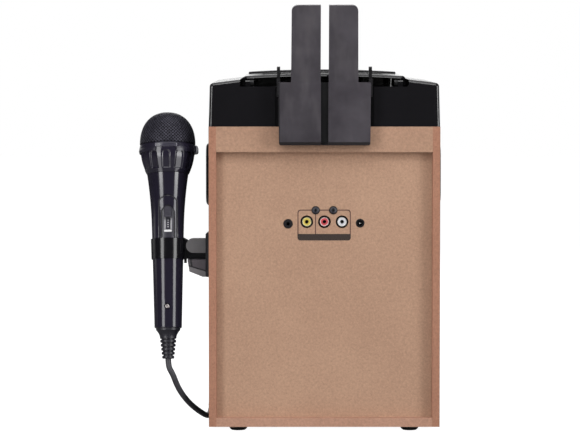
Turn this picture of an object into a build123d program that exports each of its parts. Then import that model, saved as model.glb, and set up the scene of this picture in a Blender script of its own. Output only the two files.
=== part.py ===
from build123d import *
import math
import os

# A tabletop karaoke machine: a fibreboard cabinet with a black top housing, a top-loading disc player under a
# rear-hinged lid, a removable tablet holder on the rear, and a wired microphone clipped to one side.
# Millimetres. Origin on the floor under the cabinet's centre, +Z up. The rear, with the sockets, faces +Y;
# the front, with the loudspeaker, faces -Y; the microphone hangs on the +X side.

# ------------------------------------------------------------------ driving dimensions
fit_gap = 0.3           # general clearance between pieces that only lie near each other
running_gap = 0.05      # radial clearance of a pin or shaft in its bore
over = 10.0             # how far a cutting shape runs past what it cuts

# Cabinet
cabinet_width = 231.0
cabinet_depth = 236.0
cabinet_height = 300.4
side_thickness = 7.5
bottom_thickness = 9.0
back_thickness = 6.0
back_recess = 9.0
rail_height = 25.4
baffle_thickness = 12.0
baffle_edge_radius = 5.0

# Feet
foot_height = 5.8
foot_top_radius = 9.8
foot_bottom_radius = 7.0
foot_inset_side = 28.9
foot_inset_end = 24.0

# Top housing
housing_wall = 2.8
housing_draft = 1.2             # how much narrower each side is at the top
shoulder_radius = 4.2
crown_radius = 800.0            # sideways crown of the deck
rear_top_height = 51.2          # deck centre above the cabinet, at the rear
crest_top_height = 59.0         # the same at the crest
front_top_height = 25.0         # the same at the front
land_depth = 12.0               # land between the lid's pocket and the crest
rear_edge_radius = 3.4
crest_edge_radius = 8.0
front_edge_radius = 5.0

# Lid and the pocket it lies in
lid_width = 164.0
lid_depth = 138.0
lid_rear_inset = 16.0           # lid's rear edge in from the machine's rear face
lid_gap = 2.0
lid_shell = 2.6
lid_rear_height = 13.6          # lid centre top above the pocket floor, at its rear edge
lid_front_height = 20.8         # the same at its front edge
lid_bead_width = 3.2            # raised rim along the lid's front edge
lid_bead_height = 1.5
lid_crown_radius = 1250.0
lid_skirt_clearance = 2.3       # skirt's lower edge above the pocket floor
lid_corner_radius = 12.0
lid_rear_corner_radius = 5.5
lid_edge_radius = 4.0
lid_rear_drop = 2.6             # how much lower the lid's underside is at its rear corners
pocket_floor_height = 39.8      # pocket floor above the cabinet
pocket_corner_radius = 10.0

# Lid hinge
hinge_inset = 5.0               # hinge axis ahead of the lid's rear edge
hinge_height = 4.6              # hinge axis above the pocket floor
hinge_pin_radius = 2.0
hinge_knuckle_radius = 4.0
hinge_arm_thickness = 3.2
hinge_arm_front = 9.0           # arm's root ahead of the axis
hinge_arm_rear = 2.0            # arm's root behind the axis
hinge_boss_width = 5.0
hinge_boss_offset = 76.5        # boss centre from the machine's centre plane

# Disc well and mechanism
disc_radius = 60.0
well_clearance = 1.5
well_wall = 2.0
well_depth = 8.0                # well floor below the pocket floor
well_floor = 2.0
well_flange_reach = 0.5         # flange's edge beyond the lid's front and rear edges
well_flange_thickness = 1.6
spindle_opening_radius = 15.5
finger_notch_radius = 12.0
finger_notch_web = 0.6           # wall left behind each finger notch
lens_slot_width = 20.0
lens_slot_length = 44.0
chassis_width = 100.0
chassis_thickness = 2.0
chassis_post_height = 10.0
chassis_post_radius = 3.5
chassis_post_x = 42.0
chassis_post_y = 38.0
motor_radius = 12.0
motor_height = 12.0
motor_boss_radius = 4.0
spindle_shaft_radius = 1.0
hub_platform_radius = 14.0
hub_platform_thickness = 1.6
disc_seat_height = 3.0          # disc's underside above the well floor
hub_boss_radius = 7.3
hub_boss_height = 5.5
hub_ball_radius = 1.4
hub_ball_count = 3
rod_radius = 1.5
rod_spacing = 28.0
rod_height = 4.5                # rod axis above the chassis
sled_length = 20.0
sled_height = 7.0
sled_travel = 30.0
sled_start_radius = 24.0        # lens from the spindle at the inner stop
rod_ear_thickness = 3.0
lens_radius = 3.5
lens_barrel_radius = 5.5

# Lid latch button, on the land between lid and crest
latch_button_length = 30.0
latch_button_width = 5.0
latch_button_travel = 2.5
latch_button_rise = 1.6

# Control panel on the front slope
panel_width = 150.0
panel_height = 50.0
panel_corner_radius = 8.0
panel_thickness = 2.5
panel_sink = 5.0                # panel face below the slope's own surface
panel_ledge = 3.0
panel_ledge_thickness = 2.0
board_depth = 9.0               # board's top below the panel's underside
board_thickness = 1.6
board_margin = 7.0
board_post_radius = 2.5
button_radius = 4.5
button_rise = 2.2
button_travel = 1.2
button_flange_width = 1.5
button_flange_thickness = 1.0
button_row = -13.0
button_shares = (-0.36, -0.2533, -0.1667, -0.08, 0.0067)    # places across the panel, as shares of its width
button_names = ("button_power", "button_play", "button_stop", "button_back", "button_next")
knob_radius = 9.0
knob_height = 13.0
knob_gap = 0.8
knob_shaft_radius = 3.0
knob_shares = (0.1267, 0.2633, 0.4)
knob_names = ("knob_microphone", "knob_echo", "knob_volume")
knob_row = 0.0
knob_grip_count = 18
window_width = 62.0
window_height = 18.0
window_share = -0.22
window_row = 8.0
window_thickness = 1.6

# Microphone sockets on the front fascia
mic_jack_places = (62.0, 88.0)
mic_jack_drop = 12.5            # jack axis below the housing's front top edge
mic_jack_bore = 3.25
mic_jack_bore_length = 20.0
mic_jack_bush_radius = 5.4
mic_jack_nut_radius = 7.6
mic_jack_nut_thickness = 2.4
mic_jack_body_size = 15.0
mic_jack_body_length = 22.0

# Loudspeaker
speaker_height = 150.0          # centre above the cabinet's underside
grille_radius = 84.0
grille_thickness = 2.2
grille_rise = 1.8
grille_seat_depth = 5.0
grille_slot = 4.0
grille_bar = 3.6
grille_rib = 5.0
grille_rim_width = 8.0
cone_opening_radius = 66.0
light_ring_wall = 2.5
light_ring_width = 9.0
light_ring_depth = 5.0
light_ring_proud = 1.2
driver_flange_radius = 79.0
driver_flange_thickness = 3.0
driver_lip_thickness = 2.0
driver_depth = 42.0
basket_wall = 2.0
basket_neck_radius = 32.0
magnet_radius = 40.0
magnet_thickness = 18.0
cone_paper = 1.2
cone_neck_radius = 14.0
surround_width = 7.0
surround_rise = 3.0

# Side handles
handle_length = 116.0
handle_flange_height = 65.2
handle_drop = 48.6              # flange's middle below the cabinet's top
handle_bulge = 5.2
handle_flange_radius = 14.0
handle_edge_radius = 4.4
handle_cup_length = 92.0
handle_cup_height = 40.0
handle_cup_depth = 30.0
handle_cup_wall = 2.4
handle_cup_radius = 12.0

# Sockets on the back panel: places are (across, above the cabinet's underside)
jack_row = 205.0
phono_pitch = 17.66
phono_middle_x = -0.2
phono_row = 205.2
phono_hole_radius = 6.4
phono_shell_radius = 5.0
phono_shell_wall = 0.5
phono_socket_radius = 1.75
phono_socket_length = 9.0
phono_sink = 1.2                # barrel end below the panel's rear face
phono_block_height = 24.0
phono_block_depth = 12.0
phono_block_margin = 11.0
jack_screw_rise = 11.6          # screws above the phono row
jack_screw_head_radius = 4.2
jack_screw_head_height = 2.2
jack_screw_shank_radius = 1.5
jack_screw_slot = 1.0
aux_x = 36.2
aux_row = 203.2
aux_outer_radius = 4.5
aux_proud = 1.0
aux_bore = 1.8
aux_bore_length = 13.0
dc_x = -36.0
dc_row = 203.8
dc_outer_radius = 4.2
dc_cavity_radius = 2.9
dc_pin_radius = 1.0
dc_cavity_length = 9.0
small_jack_body = 12.0
small_jack_depth = 12.0
jack_board_width = 104.0
jack_board_height = 48.0
jack_board_thickness = 1.6

# Tablet holder
holder_half_width = 45.8
holder_height = 62.3
holder_thickness = 13.6
holder_taper = 0.6
holder_bevel = 3.4
holder_corner_radius = 2.0
holder_clear = 0.4
holder_shoulder = 43.7          # holder body's top above the cabinet
holder_pocket_half_width = 49.2
holder_pocket_depth = 3.0
holder_pad_half_width = 44.0
holder_tongue_half_width = 30.0
holder_tongue_thickness = 3.0
holder_tongue_length = 24.0
arm_gap_half = 4.0
arm_outer_bottom = 33.3
arm_outer_top = 32.6
arm_length = 77.5
arm_thickness = 4.6
arm_lean = 12.0                 # degrees back from upright
arm_corner_radius = 6.0
spine_half_width = 3.7
spine_groove_depth = 6.0
spine_sink = 2.5
hook_thickness = 3.3
hook_outer = 47.4
hook_bar = 3.4
hook_tip = 3.3
hook_rise = 12.7
hook_gap = 12.2
hook_leg = 14.0

# Microphone, measured along its axis from the strain relief's end
mic_foot = (156.4, 112.0, 73.8)
mic_tilt = 8.0                  # degrees, top leaning to the front
mic_lean = 0.5                  # degrees, top leaning away from the cabinet
relief_length = 30.6
relief_flange_radius = 12.3
relief_flange_length = 3.2
relief_neck_radius = 8.5
relief_tip_radius = 6.1
relief_rib_count = 5
relief_rib_pitch = 4.0
relief_rib_width = 2.8
relief_groove_depth = 1.3
body_end = 186.4
body_waist = 133.0              # where the straight taper starts to flare
body_foot_radius = 13.75
body_waist_radius = 16.2
body_top_radius = 20.9
body_edge_radius = 1.0
body_screw_height = 51.9
body_screw_radius = 3.2         # counterbore of the screw that holds the cord clamp
body_screw_depth = 1.8
collar_foot_radius = 21.5
collar_middle_radius = 25.1
collar_middle = 195.5
collar_end = 211.4
collar_top_radius = 27.6
collar_flute_count = 12
collar_flute_depth = 0.9
collar_flute_width = 9.8
collar_flute_start = 190.0
collar_flute_end = 209.2
ring_skirt = 4.5                # the ring's two side skirts reach this far below the collar's end
ring_end = 216.2
ring_radius = 29.0
ring_band_radius = 27.75
ring_top_radius = 27.2
ring_gap_half = 10.6
lug_width = 12.0
lug_height = 7.6
lug_proud = 2.0
ball_radius = 28.1
ball_height = 33.0
ball_wall = 1.0
capsule_radius = 9.0
switch_start = 141.1
switch_length = 10.3
switch_width = 7.4
switch_face = 18.3              # thumb piece's face from the microphone's axis
switch_floor = 13.6
switch_travel = 11.8
switch_offset = -1.0
pad_end = 163.1
pad_half_width = 8.9
pad_arch = 5.0
pad_rise = 0.8
panel_end = 152.9               # the switch's sunk field within the pad
panel_half_width = 6.4
panel_arch = 6.0
panel_depth = 0.6

# Microphone holder on the side panel
clip_start = 99.9
clip_end = 120.2
clip_wall = 0.9
clip_clearance = 0.3
plate_thickness = 3.3
plate_width = 34.0
plate_bottom = 150.0            # above the cabinet's underside
plate_height = 44.3
ear_height = 14.7
ear_bottom = 23.8               # above the plate's bottom
ear_reach = 19.9                # ear's rounded end beyond the plate
ear_thickness = 8.0
neck_thickness = 10.0
neck_bottom = 17.3              # above the plate's bottom
neck_height = 18.2
neck_shoulder = 17.4            # where the neck's top starts to rise to the ring, beyond the plate
wedge_reach = 18.2
wedge_nose_reach = 16.4
wedge_nose = 5.3
wedge_foot = 3.1
wedge_width = 26.0
barb_width = 2.6
barb_drop = 4.4
barb_place = 21.1               # barb's middle beyond the plate

# Microphone cord
cord_radius = 2.9
cord_straight = 8.0             # first run, straight out of the strain relief
coil_centre = (70.0, -171.9)
coil_middle_radius = 29.4
coil_column_count = 3
coil_layer_count = 4
coil_pitch = 5.9
plug_handle_radius = 6.2
plug_handle_length = 36.0
plug_relief_length = 12.0
plug_shaft_radius = 3.17
plug_shaft_length = 31.0

# ------------------------------------------------------------------ derived places
half_width = cabinet_width / 2
half_depth = cabinet_depth / 2
inner_half = half_width - side_thickness
cabinet_bottom = foot_height
cabinet_top = cabinet_bottom + cabinet_height
floor_top = cabinet_bottom + bottom_thickness
rear_y = half_depth
back_y = rear_y - back_recess                   # back panel's rear face
back_inner_y = back_y - back_thickness
front_y = -half_depth
baffle_rear_y = front_y + baffle_thickness
pocket_z = cabinet_top + pocket_floor_height
lid_rear_y = rear_y - lid_rear_inset
lid_front_y = lid_rear_y - lid_depth
pocket_front_y = lid_front_y - lid_gap
pocket_half = lid_width / 2 + lid_gap
crest_y = pocket_front_y - land_depth
crest_from_front = crest_y - front_y
cutter_top = cabinet_top + crest_top_height + over
hinge_y = lid_rear_y - hinge_inset
hinge_z = pocket_z + hinge_height
disc_y = (lid_rear_y + lid_front_y) / 2
well_radius = disc_radius + well_clearance
well_flange_radius = lid_depth / 2 + well_flange_reach
well_floor_z = pocket_z - well_depth
chassis_top_z = well_floor_z - well_floor - chassis_post_height
holder_top_z = cabinet_top + holder_shoulder
holder_rear_y = rear_y + holder_clear + holder_thickness
speaker_z = cabinet_bottom + speaker_height
lens_y = disc_y - sled_start_radius
phono_seat_y = back_inner_y - phono_block_depth
floor_line = cord_radius + 0.1
coil_base = floor_line - coil_pitch / 2
coil_top = floor_line + coil_pitch * (coil_layer_count - 1)
plug_z = plug_handle_radius + 0.1
button_places = [panel_width * share for share in button_shares]
knob_places = [panel_width * share for share in knob_shares]
window_place = (panel_width * window_share, window_row)
handle_z = cabinet_top - handle_drop

slope_drop = crest_top_height - front_top_height
slope_angle = math.degrees(math.atan2(slope_drop, crest_from_front))
slope_middle = Vector(0, front_y + crest_from_front / 2, cabinet_top + (crest_top_height + front_top_height) / 2)
slope_normal = Vector(0, -math.sin(math.radians(slope_angle)), math.cos(math.radians(slope_angle)))
panel_plane = Plane(origin=slope_middle - slope_normal * panel_sink, x_dir=(1, 0, 0), z_dir=slope_normal)

mic_axis = Vector(
    math.sin(math.radians(mic_lean)),
    -math.sin(math.radians(mic_tilt)),
    math.cos(math.radians(mic_tilt)),
).normalized()
mic_plane = Plane(origin=mic_foot, x_dir=(1, 0, 0), z_dir=mic_axis)


# ------------------------------------------------------------------ helpers
def block(low, high):
    """A box between two opposite corners."""
    size = [b - a for a, b in zip(low, high)]
    return Pos(*low) * Box(*size, align=(Align.MIN, Align.MIN, Align.MIN))


def rod_along(axis_plane, radius, length):
    """A cylinder from a plane's origin along its normal."""
    return axis_plane * Cylinder(radius, length, align=(Align.CENTER, Align.CENTER, Align.MIN))


def rearward(x, y, z):
    """A plane that looks along +Y, for what stands out of the rear."""
    return Plane(origin=(x, y, z), x_dir=(-1, 0, 0), z_dir=(0, 1, 0))


def frontward(x, y, z):
    """A plane that looks along -Y, for what stands out of the front."""
    return Plane(origin=(x, y, z), x_dir=(1, 0, 0), z_dir=(0, -1, 0))


def cap_arc(radius, edge, middle):
    """The arc of a spherical cap's outline, from its edge (radius, edge) to its pole (0, middle)."""
    rise = middle - edge
    sphere = (radius**2 + rise**2) / (2 * abs(rise))
    half = radius / 2
    sag = sphere - math.sqrt(sphere**2 - half**2)
    return ThreePointArc((radius, edge), (half, middle - math.copysign(sag, rise)), (0, middle))


def turned(points):
    """A solid of revolution about local Z from a closed (radius, height) outline."""
    face = make_face(Polyline(*points, close=True))
    return revolve(Plane.XZ * face, Axis.Z)


def crowned_section(y, top_z, base_z, half_base, half_top, radius, corner):
    """The cross-section of a crowned cover, drawn at one place along Y."""
    drop = radius - math.sqrt(radius**2 - half_top**2)
    edge_z = top_z - drop
    outline = Polyline((half_top, edge_z), (half_base, base_z), (-half_base, base_z), (-half_top, edge_z))
    outline += ThreePointArc((-half_top, edge_z), (0, top_z), (half_top, edge_z))
    face = make_face(outline)
    if corner:
        face = fillet(face.vertices().sort_by(Axis.Y)[-2:], corner)
    return Plane.XZ.offset(-y) * face


parts = {}


# ------------------------------------------------------------------ cabinet
def side_panel(side):
    """One side board with the hole that takes its handle cup."""
    inner, outer = side * inner_half, side * half_width
    board = block(
        (min(inner, outer), baffle_rear_y, cabinet_bottom),
        (max(inner, outer), rear_y, cabinet_top),
    )
    hole = Pos(side * half_width, 0, handle_z) * Box(
        4 * side_thickness,
        handle_cup_length + 2 * handle_cup_wall + 2 * fit_gap,
        handle_cup_height + 2 * handle_cup_wall + 2 * fit_gap,
    )
    hole = fillet(hole.edges().filter_by(Axis.X), handle_cup_radius + handle_cup_wall)
    return board - hole


def bottom_panel():
    return block((-inner_half, baffle_rear_y, cabinet_bottom), (inner_half, rear_y, floor_top))


def top_rail():
    low_z = cabinet_top - rail_height
    return block((-inner_half, back_inner_y, low_z), (inner_half, rear_y, cabinet_top))


def phono_places():
    """Centre of each phono socket, from the yellow one (+X) to the white one (-X)."""
    z = cabinet_bottom + phono_row
    return [(phono_middle_x + phono_pitch * step, z) for step in (1, 0, -1)]


def screw_places():
    z = cabinet_bottom + phono_row + jack_screw_rise
    return [(phono_middle_x + phono_pitch * step, z) for step in (0.5, -0.5)]


def back_panel():
    panel = block((-inner_half, back_inner_y, floor_top), (inner_half, back_y, cabinet_top - rail_height))
    holes = [(x, z, phono_hole_radius) for x, z in phono_places()]
    holes += [(x, z, jack_screw_shank_radius + fit_gap) for x, z in screw_places()]
    holes.append((aux_x, cabinet_bottom + aux_row, aux_outer_radius + fit_gap))
    holes.append((dc_x, cabinet_bottom + dc_row, dc_outer_radius + fit_gap))
    for x, z, radius in holes:
        panel -= rod_along(rearward(x, back_inner_y - 1, z), radius, back_thickness + 2)
    return panel


def front_baffle():
    board = block((-half_width, front_y, cabinet_bottom), (half_width, baffle_rear_y, cabinet_top))
    front_edges = board.edges().filter_by(Axis.Z).sort_by(Axis.Y)[:2]
    board = fillet(front_edges, baffle_edge_radius)
    face = frontward(0, front_y, speaker_z)
    inward = rearward(0, front_y, speaker_z)
    board -= rod_along(inward, cone_opening_radius, baffle_thickness)
    board -= rod_along(inward, grille_radius + fit_gap, grille_seat_depth)
    ring_inner = grille_radius + fit_gap + light_ring_wall
    groove = Cylinder(ring_inner + light_ring_width + fit_gap, 2 * light_ring_depth)
    groove -= Cylinder(ring_inner - fit_gap, 2 * light_ring_depth)
    return board - face * groove


def light_ring():
    """The translucent ring round the grille, seated on the floor of its groove."""
    ring_inner = grille_radius + fit_gap + light_ring_wall
    ring_outer = ring_inner + light_ring_width
    height = light_ring_depth + light_ring_proud
    ring = Cylinder(ring_outer, height, align=(Align.CENTER, Align.CENTER, Align.MIN))
    ring -= Cylinder(ring_inner, height, align=(Align.CENTER, Align.CENTER, Align.MIN))
    ring = fillet(ring.faces().sort_by(Axis.Z)[-1].edges(), light_ring_proud * 0.8)
    return frontward(0, front_y + light_ring_depth, speaker_z) * ring


def speaker_grille():
    """A flat disc crossed by level slots, with a raised rim and an upright rib."""
    rim = grille_radius - grille_rim_width
    face = Circle(grille_radius)
    pitch = grille_slot + grille_bar
    rows = int((rim - grille_slot) / pitch)
    for row in range(-rows, rows + 1):
        v = row * pitch
        half = math.sqrt(rim**2 - (abs(v) + grille_slot / 2) ** 2)
        length = half - grille_rib / 2
        if length < 2 * grille_slot:
            continue
        for side in (1, -1):
            face -= Pos(side * (grille_rib / 2 + length / 2), v) * SlotOverall(length, grille_slot)
    disc = extrude(face, grille_thickness)
    collar = extrude(Circle(grille_radius) - Circle(rim + grille_rim_width / 4), grille_thickness + grille_rise)
    collar = chamfer(collar.faces().sort_by(Axis.Z)[-1].edges(), grille_rise / 3)
    return frontward(0, front_y + grille_seat_depth, speaker_z) * (disc + collar)


def speaker_driver():
    """Basket and magnet behind the baffle: flange, lip that carries the cone, windowed basket, magnet."""
    rim = cone_opening_radius + 2.0
    lip = cone_opening_radius - surround_width + 1.0
    t_flange = driver_flange_thickness
    t_lip = t_flange + driver_lip_thickness
    outline = [
        (rim, 0), (driver_flange_radius, 0), (driver_flange_radius, t_flange),
        (rim + 1, t_lip), (basket_neck_radius + basket_wall, driver_depth - 4),
        (magnet_radius, driver_depth - 4), (magnet_radius, driver_depth + magnet_thickness),
        (0, driver_depth + magnet_thickness), (0, driver_depth), (basket_neck_radius, driver_depth),
        (basket_neck_radius, driver_depth - 6), (lip, t_lip), (lip, t_flange), (rim, t_flange),
    ]
    body = turned(outline)
    window = Pos(0, 0, (driver_depth + t_lip) / 2) * Box(26, 2 * driver_flange_radius, driver_depth - t_lip - 14)
    for turn in (0, 60, 120):
        body -= Rot(0, 0, turn) * window
    core = Cylinder(magnet_radius * 0.3, 6, align=(Align.CENTER, Align.CENTER, Align.MIN))
    return rearward(0, baffle_rear_y, speaker_z) * (body + Pos(0, 0, driver_depth - 6) * core)


def speaker_cone():
    """Surround roll, paper cone, dust cap and voice-coil former, in one moving shape that stays at rest."""
    rim = cone_opening_radius + 2.0 - fit_gap
    roll_in = cone_opening_radius - surround_width
    t = driver_flange_thickness
    deep = driver_depth - 14
    former = magnet_radius * 0.3 + 1.0
    outline = Polyline((rim, t), (rim, t - cone_paper), (cone_opening_radius, t - cone_paper))
    outline += ThreePointArc(
        (cone_opening_radius, t - cone_paper),
        ((cone_opening_radius + roll_in) / 2, t - cone_paper - surround_rise),
        (roll_in, t - cone_paper),
    )
    outline += Polyline((roll_in, t - cone_paper), (cone_neck_radius, deep - cone_paper))
    outline += cap_arc(cone_neck_radius, deep - cone_paper, deep - cone_paper - 5)
    outline += Polyline(
        (0, deep - cone_paper - 5), (0, deep - 5), (former, deep), (former, driver_depth - fit_gap),
        (former + 1, driver_depth - fit_gap), (former + 1, deep + 1), (cone_neck_radius + 1, deep),
        (roll_in, t),
    )
    outline += ThreePointArc(
        (roll_in, t),
        ((cone_opening_radius + roll_in) / 2, t - surround_rise),
        (cone_opening_radius, t),
    )
    outline += Line((cone_opening_radius, t), (rim, t))
    return rearward(0, baffle_rear_y, speaker_z) * revolve(Plane.XZ * make_face(outline), Axis.Z)


def feet():
    """Four bowl-shaped rubber feet."""
    outline = Polyline((0, foot_height), (0, 0), (foot_bottom_radius, 0))
    outline += ThreePointArc(
        (foot_bottom_radius, 0),
        (foot_bottom_radius + 0.72 * (foot_top_radius - foot_bottom_radius), foot_height * 0.38),
        (foot_top_radius, foot_height),
    )
    outline += Line((foot_top_radius, foot_height), (0, foot_height))
    foot = revolve(Plane.XZ * make_face(outline), Axis.Z)
    x, y = half_width - foot_inset_side, half_depth - foot_inset_end
    return [Pos(sx * x, sy * y, 0) * foot for sx in (1, -1) for sy in (1, -1)]


def handle_cup(side):
    """A recessed carrying handle: a convex flange outside, a finger cup inside."""
    outward = Plane(origin=(side * half_width, 0, handle_z), x_dir=(0, side, 0), z_dir=(side, 0, 0))
    flange = extrude(RectangleRounded(handle_length, handle_flange_height, handle_flange_radius), handle_bulge)
    flange = fillet(flange.faces().sort_by(Axis.Z)[-1].edges(), handle_edge_radius)
    wall = 2 * handle_cup_wall
    cup = extrude(
        RectangleRounded(handle_cup_length + wall, handle_cup_height + wall, handle_cup_radius + handle_cup_wall),
        -handle_cup_depth - handle_cup_wall,
    )
    hollow = Pos(0, 0, -handle_cup_depth) * extrude(
        RectangleRounded(handle_cup_length, handle_cup_height, handle_cup_radius),
        handle_cup_depth + handle_bulge + 1,
    )
    return outward * (flange + cup - hollow)


parts["side_panel_right"] = side_panel(1)
parts["side_panel_left"] = side_panel(-1)
parts["bottom_panel"] = bottom_panel()
parts["top_rail"] = top_rail()
parts["back_panel"] = back_panel()
parts["front_baffle"] = front_baffle()
parts["light_ring"] = light_ring()
parts["speaker_grille"] = speaker_grille()
parts["speaker_driver"] = speaker_driver()
parts["speaker_cone"] = speaker_cone()
parts["feet"] = feet()
parts["handle_right"] = handle_cup(1)
parts["handle_left"] = handle_cup(-1)


# ------------------------------------------------------------------ top housing
def housing_form(inset):
    """The crowned top cover as a solid, or the same form drawn in by an even wall."""
    places = (
        (rear_y - inset, rear_top_height, crown_radius),
        (crest_y, crest_top_height, crown_radius),
        (front_y + inset, front_top_height, 2 * crown_radius),
    )
    base_z = cabinet_top - (1.0 if inset else 0.0)
    sections = [
        crowned_section(
            y, cabinet_top + top - inset, base_z, half_width - inset,
            half_width - housing_draft - inset, radius, shoulder_radius - inset * 0.8,
        )
        for y, top, radius in places
    ]
    return loft(sections, ruled=True)


def deck_pocket(grow):
    """The rectangular pocket that the lid lies in, open to the rear."""
    low_y = pocket_front_y - grow
    half = pocket_half + grow
    pocket = block((-half, low_y, pocket_z - grow), (half, rear_y + over, cutter_top))
    front_corners = pocket.edges().filter_by(Axis.Z).sort_by(Axis.Y)[:2]
    return fillet(front_corners, pocket_corner_radius + grow)


def holder_pocket(grow):
    """The shallow pocket in the rear wall that takes the tablet holder."""
    return block(
        (-holder_pocket_half_width - grow, rear_y - holder_pocket_depth - grow, cabinet_top - 5),
        (holder_pocket_half_width + grow, rear_y + over, pocket_z + 1),
    )


def panel_prism(extra, top, bottom):
    """A rounded prism square to the front slope, centred on the control panel."""
    outline = RectangleRounded(panel_width + 2 * extra, panel_height + 2 * extra, panel_corner_radius + extra)
    return panel_plane * (Pos(0, 0, bottom) * extrude(outline, top - bottom))


def hinge_bosses():
    """Two rounded lugs on the pocket floor that carry the lid's pins."""
    lug = Plane.YZ * (
        make_face(Polyline(
            (hinge_y - hinge_knuckle_radius, pocket_z - 0.5), (hinge_y + hinge_knuckle_radius, pocket_z - 0.5),
            (hinge_y + hinge_knuckle_radius, hinge_z), (hinge_y - hinge_knuckle_radius, hinge_z), close=True,
        ))
        + Pos(hinge_y, hinge_z) * Circle(hinge_knuckle_radius)
        - Pos(hinge_y, hinge_z) * Circle(hinge_pin_radius + running_gap)
    )
    lug = extrude(lug, hinge_boss_width / 2, both=True)
    return [Pos(side * hinge_boss_offset, 0, 0) * lug for side in (1, -1)]


def latch_slot(grow):
    """The round-ended opening for the lid button, on the land ahead of the lid."""
    outline = SlotOverall(latch_button_length + 2 * grow, latch_button_width + 2 * grow)
    middle_y = (pocket_front_y + crest_y) / 2
    return Pos(0, middle_y, cabinet_top) * extrude(outline, cutter_top - cabinet_top)


def top_housing():
    outer = housing_form(0)
    rear_face = outer.faces().sort_by(Axis.Y)[-1]
    top_edges = rear_face.edges().filter_by(lambda e: e.center().Z > cabinet_top + 1)
    outer = fillet(top_edges, rear_edge_radius)
    outer = outer - deck_pocket(0) - holder_pocket(0)
    inner = housing_form(housing_wall) - deck_pocket(housing_wall) - holder_pocket(housing_wall)
    shell = outer - inner
    # control panel opening, with a ledge under its rim
    rim = panel_prism(housing_wall, panel_sink + over, -panel_thickness - panel_ledge_thickness)
    shell = shell + (rim & outer)
    shell -= panel_prism(fit_gap, panel_sink + over, -panel_thickness)
    shell -= panel_prism(-panel_ledge, over, -4 * over) & block(
        (-half_width, front_y + housing_wall, cabinet_top),
        (half_width, pocket_front_y - housing_wall, cutter_top),
    )
    # disc well, tongue slot, lid button, microphone sockets, hinge bosses
    shell -= Pos(0, disc_y, pocket_z - 2 * housing_wall) * Cylinder(
        well_radius + well_wall + fit_gap, 4 * housing_wall, align=(Align.CENTER, Align.CENTER, Align.MIN)
    )
    slot_rear = rear_y - holder_pocket_depth - housing_wall
    shell -= block(
        (-holder_tongue_half_width - fit_gap, slot_rear - holder_tongue_thickness - 3 * fit_gap, pocket_z - 2 * housing_wall),
        (holder_tongue_half_width + fit_gap, slot_rear, pocket_z + 1),
    )
    shell -= latch_slot(fit_gap)
    jack_z = cabinet_top + front_top_height - mic_jack_drop
    for x in mic_jack_places:
        shell -= rod_along(rearward(x, front_y - 1, jack_z), mic_jack_bush_radius + fit_gap / 2, housing_wall + 2)
    for boss in hinge_bosses():
        shell += boss
    return shell


parts["top_housing"] = top_housing()


# ------------------------------------------------------------------ disc lid
def form_prism(inset, base_z):
    """The lid's plan outline as an upright prism, or the same drawn in by an even wall."""
    half = lid_width / 2 - inset
    rear = lid_rear_y + (over if inset else 0)
    plan = make_face(Polyline(
        (half, rear), (-half, rear), (-half, lid_front_y + inset), (half, lid_front_y + inset), close=True,
    ))
    plan = fillet(plan.vertices().sort_by(Axis.Y)[:2], lid_corner_radius - inset)
    plan = fillet(plan.vertices().sort_by(Axis.Y)[-2:], lid_rear_corner_radius)
    return Pos(0, 0, base_z) * extrude(plan, lid_front_height + over)


def lid_form(inset, base_z):
    """The lid's crowned block with rounded corners in plan, or the same drawn in by an even wall."""
    half = lid_width / 2 - inset + 5
    places = ((lid_rear_y, lid_rear_height), (lid_front_y, lid_front_height))
    sections = [
        crowned_section(y, pocket_z + top - inset, base_z, half, half, lid_crown_radius, 0) for y, top in places
    ]
    return loft(sections, ruled=True) & form_prism(inset, base_z)


def lid_bead():
    """The raised rim along the lid's front edge."""
    low_y, high_y = lid_front_y + 1.0, lid_front_y + 1.0 + lid_bead_width
    slope = (lid_front_height - lid_rear_height) / lid_depth
    sections = [
        crowned_section(
            y, pocket_z + lid_front_height + lid_bead_height - slope * (y - lid_front_y),
            pocket_z + lid_front_height - lid_shell - 3, half, half - 1.0, lid_crown_radius, 0,
        )
        for y, half in ((low_y, lid_width / 2 - 3), (high_y, lid_width / 2 - 3))
    ]
    bead = loft(sections, ruled=True)
    top_face = bead.faces().sort_by(Axis.Z)[-1]
    return fillet(top_face.edges(), lid_bead_height * 0.6)


def disc_lid():
    """A crowned lid with side and front skirts; its rear edge overhangs the hinge with no skirt."""
    skirt_z = pocket_z + lid_skirt_clearance
    form = lid_form(0, skirt_z)
    top_face = form.faces().sort_by(Axis.Z)[-1]
    shell = fillet(top_face.edges(), lid_edge_radius)
    shell += lid_bead() & form_prism(0, skirt_z)
    shell -= lid_form(lid_shell, skirt_z - 1)
    # the skirts stop ahead of the hinge so that the rear edge can dip as the lid opens
    underside = pocket_z + lid_rear_height - lid_shell - lid_rear_drop
    shell -= block(
        (-lid_width, hinge_y - hinge_knuckle_radius, pocket_z - 1), (lid_width, lid_rear_y + 1, underside)
    )
    return shell


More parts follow.
